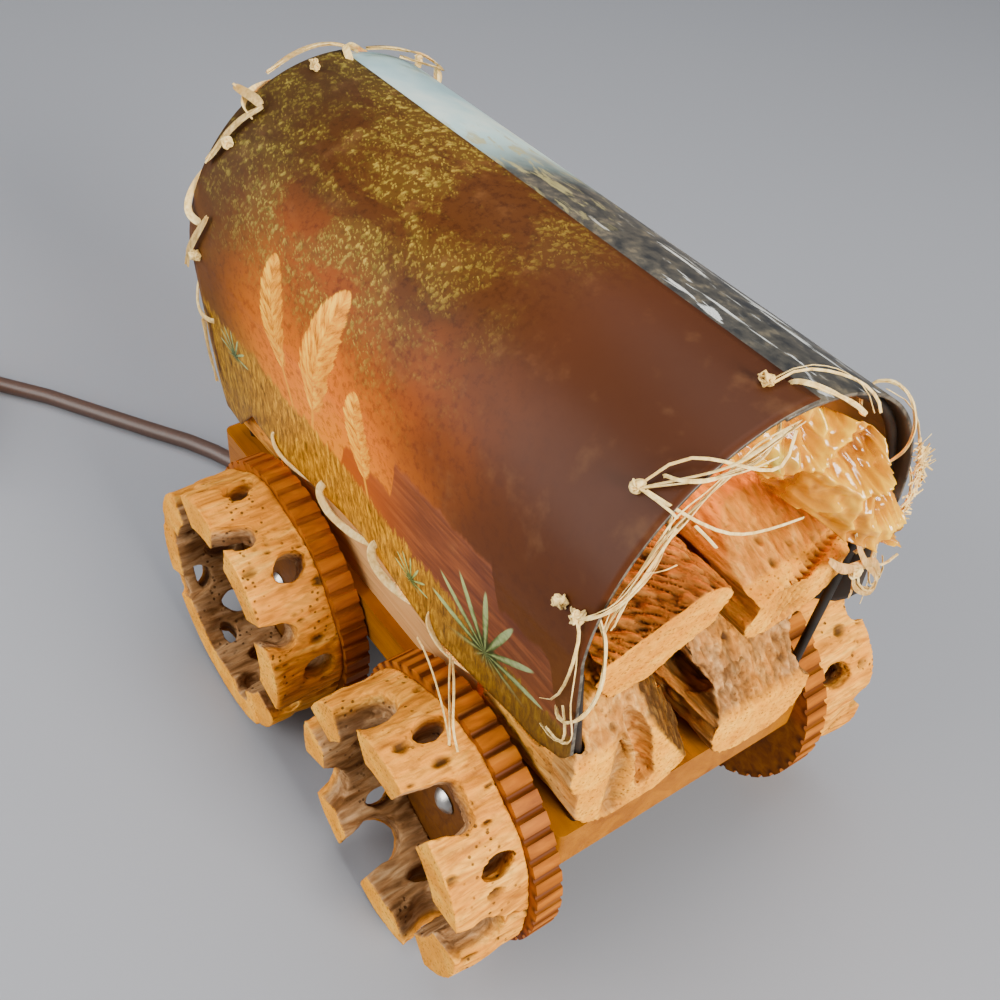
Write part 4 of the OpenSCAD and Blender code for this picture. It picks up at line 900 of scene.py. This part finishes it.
def shade_sheet(name, node, side, r, top_y, printed, slot):
    work = bmesh.new()
    bmesh.ops.create_grid(work, x_segments=84, y_segments=72, size=0.5)
    sheet_uv = work.loops.layers.uv.new("sheet")
    top = SIDE_H + r * math.acos(side * top_y / r)
    climb = {}
    for v in work.verts:
        x = SHADE_X[0] + SHADE_L * (v.co.x + 0.5)
        low = lower_edge(x) - EDGE_Z
        s = low + (top - low) * (v.co.y + 0.5)
        climb[v] = (x, s)
        wide, z = arch_place(r, s)
        loose = math.exp(-(s - low) / 14)
        at_front = math.exp(-(SHADE_X[1] - x) / 9)
        flare = loose * (1.3 * math.sin(x / 13 + side) + 1.6 * at_front)
        v.co = Vector((x, side * (wide + flare), z)) * MM
    for face in work.faces:
        for loop in face.loops:
            x, s = climb[loop.vert]
            loop[sheet_uv].uv = ((x - SHADE_X[0]) / SHADE_L, s / MAP_V)
        face.smooth = True
    work.normal_update()
    outward = sum(f.normal.y * side for f in work.faces)
    if outward < 0:
        bmesh.ops.reverse_faces(work, faces=work.faces)
    piece = new_piece(name, mesh_from(work, name), "wagon", slot, printed, LINING, CUT_EDGE)
    thick = piece.modifiers.new("thickness", "SOLIDIFY")
    thick.thickness = SHEET_T * MM
    thick.offset = -1
    thick.material_offset = 1
    thick.material_offset_rim = 2
    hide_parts(node)
    return piece


near_sheet = shade_sheet("near_picture_sheet", "shade_near_panel", -1, SHADE_R, SEAM_Y, PRINT_WARM,
                         "shade_print_warm")
far_sheet = shade_sheet("far_picture_sheet", "shade_far_panel", 1, SHADE_R - LAP_STEP, SEAM_Y - LAP_W,
                        PRINT_SKY, "shade_print_sky")
print("sheets", len(near_sheet.data.polygons), "and", len(far_sheet.data.polygons), "faces")

# %% [markdown]
# ## The amber film
# A crumpled sheet of clear amber film is tucked under the crown at the front and glows in the bulb's light.
# A fine grid follows the space that the frame gives it, and the borders of a cell pattern fold it into
# facets, as crushed film has. The creases are painted lighter gold as highlights and made more opaque.

# %% Amber film
FILM_R, FILM_LOW, FILM_HEM = 37.7, 128.2, 1.2
FILM_FROM, FILM_TO, FILM_BACK, FILM_BULGE, FILM_REACH, FILM_SINK, FILM_LIFT = 14, 118, 2.5, 7, 8.4, 8, 28
FILM_SPILL = Vector((8, -10))
FILM_SEED = 1
GREEN_SPOT = (84 * MM, 1 * MM, 152 * MM)
FILM = Finish("amber_film", Roughness=0.14, Coat_Weight=0.05, Coat_Roughness=0.1, Specular_IOR_Level=0.4)
wrinkle = FILM.noise(FILM.place(), 120, 3, 0.6, 1.5)
crest = FILM.mark("crest")
# Painted highlight: the creases turn lighter gold.
tone = FILM.ramp(wrinkle * 0.6 + crest * 0.45, (0.22, (0.11, 0.022, 0.0)), (0.40, (0.33, 0.100, 0.0)),
                 (0.60, (0.56, 0.240, 0.0)), (0.9, (0.82, 0.52, 0.03)))
tone = FILM.mix((1 - FILM.distance(GREEN_SPOT).step(3 * MM, 9 * MM)) * 0.8, tone, (0.24, 0.26, 0.045))
lit(FILM, tone, (60 * MM, 0, 135 * MM), (16 * MM, 60 * MM), (1.0, 0.58, 0.0), 0.45)
FILM.feed("Alpha", 0.5 + crest * 0.5)


def film_place(u, v):
    turn = math.radians(FILM_FROM + (FILM_TO - FILM_FROM) * u)
    top = Vector((FILM_R * math.cos(turn), ARCH_Z + FILM_R * math.sin(turn)))
    hem = FILM_LOW + FILM_HEM * (1 + math.sin(math.radians(600 * u))) + FILM_LIFT * max(0, (u - 0.38) / 0.62)
    low = Vector((FILM_R * math.cos(turn) * 0.8 + 2, hem))
    ahead = ease((v - 0.15) / 0.35) * ease((0.55 - u) / 0.25)
    spill = ease((v - 0.5) / 0.5) * ease((0.4 - u) / 0.3)
    y, z = top + (low - top) * v + FILM_SPILL * spill
    bulge = FILM_BULGE * math.sin(math.pi * v) * math.sin(math.pi * u) * (1 - ahead)
    sink = FILM_SINK * ease((u - 0.3) / 0.3)
    return Vector((SHADE_X[1] - FILM_BACK + FILM_REACH * ahead + bulge - sink, y, z))


def crushed(at, size, seed):
    """Crumpled folds: 1 on a crease, falling to 0 in the middle of a facet."""
    gaps, _ = noise.voronoi(Vector((at.x * 0.5, at.y, at.z)) / size + Vector((seed, 3, 1)))
    return max(0.0, 1 - (gaps[1] - gaps[0]) / 0.55)


work = bmesh.new()
bmesh.ops.create_grid(work, x_segments=150, y_segments=84, size=0.5)
noise.seed_set(FILM_SEED)  # without a seed, noise_vector follows the clock
crests = []
for v in work.verts:
    at = film_place(v.co.x + 0.5, v.co.y + 0.5)
    warped = at + 3.0 * noise.noise_vector(at / 14)
    big, small = crushed(warped, 13, 2), crushed(warped, 5.5, 8)
    pleat = noise.noise(Vector((at.x, at.y * 1.5 + at.z * 0.5, at.z * 0.25)) / 3.2)
    ripple = 1 - min(1, abs(pleat) * 2.6)
    sway = 1.4 * noise.noise(at / 10 + Vector((2, 9, 4)))
    crests.append(0.5 * big + 0.25 * small + 0.35 * ripple)
    v.co = Vector((at.x + 4.2 * big + 1.5 * small + 0.9 * ripple - 3.1, at.y + sway, at.z + sway * 0.7)) * MM
for face in work.faces:
    face.smooth = True
film_area = sum(face.calc_area() for face in work.faces)
mesh = mesh_from(work, "crumpled_film")
mark_points(mesh, "crest", crests)
film = new_piece("crumpled_film", mesh, "wagon", "amber_film", FILM)
thin = film.modifiers.new("thickness", "SOLIDIFY")
thin.thickness = 0.12 * MM
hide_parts("amber_film")
FILM_CUT = 0.085
round(film_area / FILM_CUT, 3)
print("film", len(mesh.polygons), "faces,", round(film_area * 1e4, 1), "cm2")

# %% [markdown]
# ## Raffia
# The sheets are laced to the hoops with raffia: flat, dry palm strips about two millimetres wide that wind
# round each edge and through one hole a stitch, with knots, loose ends and split fibres. Each strand is a
# flat curve with a small bevel, wavering a little, and a broad ribbon is a strip of faces. All the strands
# of one edge become one mesh.

# %% Raffia strands
RAFFIA = Finish("raffia", Roughness=0.7)
straw = RAFFIA.noise(RAFFIA.shift((0, 0, 0), (1, 1, 0.5)), 900, 4, 0.6)
patch = RAFFIA.noise(RAFFIA.place(), 130, 3, 0.5)
tone = RAFFIA.ramp(straw, (0.3, (0.52, 0.32, 0.080)), (0.5, (0.78, 0.55, 0.19)), (0.7, (0.88, 0.70, 0.34)))
RAFFIA.feed("Base Color", RAFFIA.mix(patch.step(0.50, 0.66) * 0.5, tone, (0.62, 0.34, 0.070)))
RAFFIA.feed("Roughness", 0.6 + straw * 0.25)
RAFFIA.bump(straw, 0.4, 0.0002)
RAFFIA_D, WIRE_D, HOOP_INSET = 2, 2.4, 4
STRAND_GAP, RIM_GAP = 0.8, 1.4
RIM_OUT = SHEET_T / 2 + RAFFIA_D / 2 + STRAND_GAP
RIM_IN = 6.0
RIM_REACH = HOOP_INSET + WIRE_D / 2 + RAFFIA_D / 2 + STRAND_GAP
RIM_PAST = RAFFIA_D / 2 + RIM_GAP
EDGE_IN = RIM_OUT
EDGE_REACH = 5
MID_R = SHADE_R - SHEET_T / 2
RIM_START = EDGE_Z + CORNER_RISE + 7
SIDE_RUN = ARCH_Z - RIM_START
RIM_RUN = 2 * SIDE_RUN + math.pi * MID_R
RIM_STITCHES, EDGE_STITCHES, RIM_LEAD = 6, 4, 0.02
EDGE_FROM, EDGE_TO = -48, 56


def hole_angle(level, out, inn):
    return math.asin((level - (out - inn) / 2) / ((out + inn) / 2))


def advance(angle, hold):
    return angle / (2 * math.pi) - math.sin(angle - hold) / (2 * math.pi) - math.sin(hold) / (2 * math.pi)


def oval(angle, out, inn, reach, past):
    return ((reach - past) / 2 + (reach + past) / 2 * math.cos(angle),
            (out - inn) / 2 + (out + inn) / 2 * math.sin(angle))


def rim_frame(s):
    """Place in Y and Z on the rim and the way out of the sheet, s mm from the near foot."""
    if s < SIDE_RUN:
        return Vector((-half_width(SHADE_R, RIM_START + s) + SHEET_T / 2, RIM_START + s)), Vector((-1, 0))
    if s > RIM_RUN - SIDE_RUN:
        z = RIM_START + RIM_RUN - s
        return Vector((half_width(SHADE_R, z) - SHEET_T / 2, z)), Vector((1, 0))
    turn = math.pi - (s - SIDE_RUN) / MID_R
    way = Vector((math.cos(turn), math.sin(turn)))
    return Vector((0, ARCH_Z)) + MID_R * way, way


def rim_spot(s, inward, out, front):
    """A point near a rim: inward mm from the rim, out mm outside the sheet's middle."""
    place, way = rim_frame(s)
    yz = place + out * way
    x = SHADE_X[1] - inward if front else SHADE_X[0] + inward
    return Vector((x, yz.x, yz.y))


RIM_PITCH = RIM_RUN / RIM_STITCHES
RIM_HOLD = hole_angle(0, RIM_OUT, RIM_IN)
EDGE_PITCH = (EDGE_TO - EDGE_FROM) / EDGE_STITCHES
EDGE_HOLD = hole_angle(0, RIM_OUT, EDGE_IN)


def rim_strand(front):
    steps = RIM_STITCHES * 16 - 4
    spots = []
    for i in range(steps + 1):
        angle = RIM_HOLD + math.radians(-40 + 360 * i / 16)
        inward, out = oval(angle, RIM_OUT, RIM_IN, RIM_REACH, RIM_PAST)
        spots.append(rim_spot(RIM_PITCH * (advance(angle, RIM_HOLD) + RIM_LEAD), inward, out, front))
    return spots


def edge_strand(side, r):
    spots = []
    for i in range(EDGE_STITCHES * 16 + 1):
        angle = EDGE_HOLD + math.radians(-40 + 360 * i / 16)
        rise, out = oval(angle, RIM_OUT, EDGE_IN, EDGE_REACH, RIM_PAST)
        x = EDGE_FROM + EDGE_PITCH * advance(angle, EDGE_HOLD)
        z = EDGE_Z + rise
        spots.append(Vector((x, side * (half_width(r, z) - SHEET_T / 2 + out), z)))
    return spots


class Lacing:
    """Collects flat strands and turns them into one mesh."""

    def __init__(self, seed):
        self.chance = random.Random(seed)
        self.curve = bpy.data.curves.new("strands", "CURVE")
        self.curve.dimensions = "3D"
        self.curve.use_fill_caps = True
        self.ribbons = bmesh.new()

    def ribbon(self, spots, ways, wide):
        """A flat strip through the spots; the ways say which way its flat side looks."""
        marks, run = np.linspace(0, 1, len(spots)), np.linspace(0, 1, 26)
        path = np.stack([np.interp(run, marks, [spot[k] for spot in spots]) for k in range(3)], 1)
        side = np.stack([np.interp(run, marks, [way[k] for way in ways]) for k in range(3)], 1)
        for _ in range(6):
            path[1:-1] = (path[:-2] + 2 * path[1:-1] + path[2:]) / 4
        path, side = [Vector(p) for p in path.tolist()], [Vector(w).normalized() for w in side.tolist()]
        rows = []
        for i, (t, spot, face) in enumerate(zip(run, path, side)):
            ahead = path[min(i + 1, len(path) - 1)] - path[max(i - 1, 0)]
            taper = 0.45 + 0.55 * math.sin(math.pi * t) ** 0.4
            across = ahead.cross(face).normalized() * (wide / 2 * taper)
            curl = face * self.chance.uniform(0.1, 0.3)
            rows.append([self.ribbons.verts.new((spot + off) * MM) for off in (across, curl, -across)])
        strip = []
        for one, two in zip(rows, rows[1:]):
            for k in range(2):
                strip.append(self.ribbons.faces.new((one[k], one[k + 1], two[k + 1], two[k])))
        bmesh.ops.solidify(self.ribbons, geom=strip, thickness=0.3 * MM)

    def strand(self, spots, size=1.0, waver=0.0, twist=0.0):
        line = self.curve.splines.new("NURBS")
        line.points.add(len(spots) - 1)
        line.use_endpoint_u = True
        line.order_u = 4
        line.resolution_u = 2
        tilt = self.chance.uniform(0, math.pi)
        for point, spot in zip(line.points, spots):
            off = Vector([self.chance.uniform(-waver, waver) for _ in range(3)])
            point.co = (*((Vector(spot) + off) * MM), 1)
            point.radius = size * self.chance.uniform(0.85, 1.1)
            tilt += self.chance.uniform(-twist, twist)
            point.tilt = tilt

    def knot(self, middle, size, axis):
        """A few tight turns round a point."""
        one = Vector(axis).normalized()
        two = one.orthogonal().normalized()
        three = one.cross(two)
        spots = []
        for i in range(26):
            turn = 2 * math.pi * i / 9
            sway = math.sin(i * 1.7) * 0.35
            reach = size * (0.55 + 0.35 * math.sin(i * 2.3))
            spots.append(Vector(middle) + two * (reach * math.cos(turn)) + three * (reach * math.sin(turn))
                         + one * (size * sway))
        self.strand(spots, 0.9, 0.1)

    def finish(self, name, node, wide, thick):
        self.curve.extrude = wide / 2 * MM
        self.curve.bevel_depth = thick / 2 * MM
        self.curve.bevel_resolution = 1
        carrier = linked("carrier", self.curve)
        mesh = applied(carrier)
        bpy.data.objects.remove(carrier)
        self.ribbons.from_mesh(mesh)
        bmesh.ops.recalc_face_normals(self.ribbons, faces=self.ribbons.faces)
        self.ribbons.to_mesh(mesh)
        self.ribbons.free()
        mesh.materials.clear()
        mesh.shade_smooth()
        piece = new_piece(name, mesh, "wagon", "raffia", RAFFIA)
        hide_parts(node)
        print(name, len(mesh.polygons), "faces")


# %% Front and rear rims
def rim_spots(places, front):
    return [rim_spot(s, inward, out, front) for s, inward, out in places]


def wad(lacing, s, inward, size, front):
    """A knot that plugs a lacing hole."""
    lacing.knot(rim_spot(s, inward, 1.6, front), size, rim_frame(s)[1].to_3d())


front = Lacing(11)
for ply in range(3):
    front.strand(rim_strand(True), 0.42, 0.32, 0.15)
for row in range(5):
    spots = []
    for k in range(20):
        sag = -1.2 - 0.5 * row + 0.7 * math.sin(0.9 * k + row)
        spots.append(rim_spot(31 + 57 * k / 19, -0.9 - 0.5 * (row % 2), sag, True))
    front.strand(spots, 0.28, 0.25, 0.3)
for s, inward in ((57, 8), (87.5, 8.3), (31, 8.5), (31.5, 3.5)):
    wad(front, s, inward, 1.8, True)
LOOSE = [
    [(57, 8, 1.6), (64.5, 6.5, 2.2), (68.5, 1.5, 2.4), (71, -3, 1), (77.5, -5, -6), (81, -5, -4.5),
     (84, -3, -0.5)],
    [(57, 7.5, 1.6), (63.5, 1.5, 2.2), (68.5, -2.5, 1.5), (75, -3, 0.5), (83.5, -2, 0)],
    [(57.5, 7, 1.6), (61, 3, 2), (66, -2, 1.5), (73, -3.5, -2), (79, -4, -3)],
    [(57, 8, 1.6), (58, -1, 1.8), (57.5, -2, 1)],
    [(57.5, 6, 1.6), (58.5, -2, 1.5), (60.5, -5, -9), (67.5, -6, -16.5), (79, -6, -21), (98.5, -4, -26)],
    [(58.5, -3, -3.5), (58.3, -5, -6.5), (58, -6, -9.5)],
    [(87.5, 8, 1.4), (94.5, 8, 2.8), (99.5, 5, 3), (102.5, 1.5, 2.4), (104, -2.5, 1), (108, -3, -3)],
    [(88, 7, 1.4), (93, 7.5, 2.6), (98.5, 4, 2.8), (104, -1, 2.2), (111, -2, -1.5), (113.5, -2, -3.5)],
    [(112, -1, 1), (124, -1.2, 1.4), (136, -1, 1), (148.5, -1, 0.5), (157, -1.5, 2)],
    [(31, 3.5, 1.6), (36, -1, 1.8), (39.5, -2, -1), (45, -1.6, -1.5), (54, -1.4, -0.5)],
    [(31, 3.5, 1.8), (35, -1.5, 1), (40, -2.4, -2), (47, -2, -2.5), (56, -1.8, -1.5)],
    [(46, -2, -2), (47, -3.5, -4), (50, -4, -6)],
    [(31, 3.5, 1.6), (29.5, 1.5, 1.6), (25, 1, 1.6), (14.5, 2, 1.6), (3, 6, 1.8), (-0.5, 10.5, 1.2)],
    [(31, 3, 1.4), (19.5, 0, 1.4), (8.5, 1.5, 1.6), (1.5, -1, 1.6), (-4.5, -0.5, 1.6), (-8, 4, 1.6),
     (-8, 8, 1)],
    [(6, 3, 1.6), (1, 0.5, 2.2), (-5, 0.5, 2.2), (-9, 5, 1.8), (-9, 10, 1)],
    [(166, -0.5, -3), (171, -2, -5), (176, -4, -6), (176, -5, -3), (174, -5, 0.5)],
    [(168, -0.5, -3), (176, -2, -5), (184, -3, -2), (187, -3, 1), (180, -4, 1), (175, -3, -2)],
    [(170, -0.5, -2), (178, -2, -3), (186, -2.5, 0), (193, -2, 1)]]
for places in LOOSE:
    front.strand(rim_spots(places, True), 0.36, 0.12, 0.25)
FRINGE = [Vector(spot) for spot in ((86, 37.5, 147), (86.5, 41.2, 139.8), (86.5, 42.8, 132.4),
                                    (86.5, 41, 126), (86, 38, 121.5))]
FRINGE_HAIRS = 170
for hair in range(FRINGE_HAIRS):
    k = front.chance.randrange(len(FRINGE) - 1)
    root = FRINGE[k].lerp(FRINGE[k + 1], front.chance.random())
    away = Vector([front.chance.uniform(-reach, reach) for reach in (1.0, 3.4, 3.0)])
    bend = Vector([front.chance.uniform(-0.8, 0.8) for _ in range(3)])
    front.strand([root - away * 0.4, root + bend, root + away], 0.24, 0.3, 0.3)
BOW = [[(88, 22.8, 130.4), (88.5, 30, 118), (89, 38.4, 110.3), (88.5, 39, 103), (88, 31, 109),
        (88, 28.7, 115.6)],
       [(88, 16.5, 125.7), (88, 24, 118.2), (88.5, 34.5, 116.5), (89, 38.4, 110.3)],
       [(88, 28.7, 115.6), (87.5, 32, 108), (87, 33.3, 103.6)]]
for spots in BOW:
    front.ribbon(spots, [(0.8, 0, 0.6)] * len(spots), 2.2)
    front.strand(spots, 0.3, 0.7, 0.3)
front.knot(Vector((88.4, 28.7, 115.6)), 1.8, Vector((1, 0, 0)))
front.finish("front_rim_raffia", "raffia_front_rim", 1.3, 0.45)

rear = Lacing(23)
rear.strand(rim_strand(False), 1.0, 0.15, 0.15)
for s in (22, 53, 82, 113, 146):
    wad(rear, s, 6, 1.7, False)
RIBBONS = [
    [(72, -1.5, 1.6), (80, -2.6, 1.9), (87, -2.8, 1.9), (92, -1, 1.8), (95, 4, 1.5)],
    [(46, 2, 1.6), (49, 4, 1.9), (55, 4.5, 2), (60.5, 6, 1.9), (65, 8.5, 1.6)],
    [(65, 8, 1.9), (65, 5, 3), (64, -2.5, 4.2)],
    [(14.5, -2, 1.6), (21, 2, 2), (27.5, 6.5, 1.9), (35, 11, 1.6)],
    [(98, 3, 1.6), (105, 1.5, 1.9), (112, 0, 2), (119, -1.5, 3), (124, 2, 3.4), (120, 8, 2.4),
     (112, 9.5, 1.9), (106, 7, 1.6)],
    [(0, 2, 1.6), (-8, 1.5, 1.9), (-16, 2, 1.9), (-22, 3, 1.6)]]
for places in RIBBONS:
    ways = [(0, *rim_frame(s)[1]) for s, inward, out in places]
    rear.ribbon(rim_spots(places, False), ways, 2.6)
    for ply in range(2):
        rear.strand(rim_spots(places, False), 0.3, 0.7, 0.3)
rear.finish("rear_rim_raffia", "raffia_rear_rim", 1.5, 0.5)

# %% Lower edges
near = Lacing(37)
near.strand(edge_strand(-1, SHADE_R), 1.15, 0.1, 0.1)
TAILS = [[(40, -43.5, 84), (43, -46, 82.5), (48, -49, 79.5), (53, -52, 77.8), (57, -55, 76.8)],
         [(41, -43.6, 83), (47, -47, 82), (52, -51, 79), (56, -53, 77.3), (59, -54, 76)],
         [(26, -43.5, 76), (33, -46, 80), (42, -49, 80.5), (51, -52, 78.6), (56, -54.5, 77.4)]]
for places in TAILS:
    near.strand(places, 0.34, 0.1, 0.2)
near.finish("near_edge_raffia", "raffia_near_edge", 1.5, 0.5)
far = Lacing(41)
far.strand(edge_strand(1, SHADE_R - LAP_STEP), 1.15, 0.1, 0.1)
far.finish("far_edge_raffia", "raffia_far_edge", 1.5, 0.5)

# %% [markdown]
# ## Floor and light
# The floor is a plain pale sheet. Three large soft lights stand in for a studio: a key from the front, a
# weaker fill from the near side and one from above. A small warm light sits at the bulb.

# %% Floor and lights
work = bmesh.new()
bmesh.ops.create_grid(work, x_segments=1, y_segments=1, size=3)
mesh = mesh_from(work, "floor")
floor = linked("floor", mesh)
PAPER = Finish("pale_floor", Roughness=0.85)
PAPER.shader.inputs["Base Color"].default_value = (0.23, 0.24, 0.265, 1)
mesh.materials.append(PAPER.material)


def soft_light(name, place, aim, size, power, colour):
    lamp = bpy.data.lights.new(name, "AREA")
    lamp.size = size
    lamp.energy = power
    lamp.color = colour
    holder = linked(name, lamp)
    holder.location = place
    holder.rotation_euler = (Vector(aim) - Vector(place)).to_track_quat("-Z", "Y").to_euler()


CENTRE = (0, 0, 0.08)
soft_light("key", (1.05, 0.05, 0.52), CENTRE, 0.45, 34, (1.0, 0.94, 0.86))
soft_light("fill", (-0.35, -0.9, 0.55), CENTRE, 0.9, 19, (1.0, 0.98, 0.95))
soft_light("sky", (-0.1, 0.2, 1.2), CENTRE, 1.0, 13, (0.97, 0.98, 1.0))
glow = bpy.data.lights.new("bulb_light", "POINT")
glow.energy = 0.5
glow.color = (1.0, 0.56, 0.20)
glow.shadow_soft_size = 0.012
lamp = linked("bulb_light", glow)
lamp.location = (-5 * MM, 0, 146 * MM)
world = bpy.data.worlds.new("studio")
world.use_nodes = True
world.node_tree.nodes["Background"].inputs["Color"].default_value = (0.80, 0.85, 0.92, 1)
world.node_tree.nodes["Background"].inputs["Strength"].default_value = 0.22
bpy.context.scene.world = world
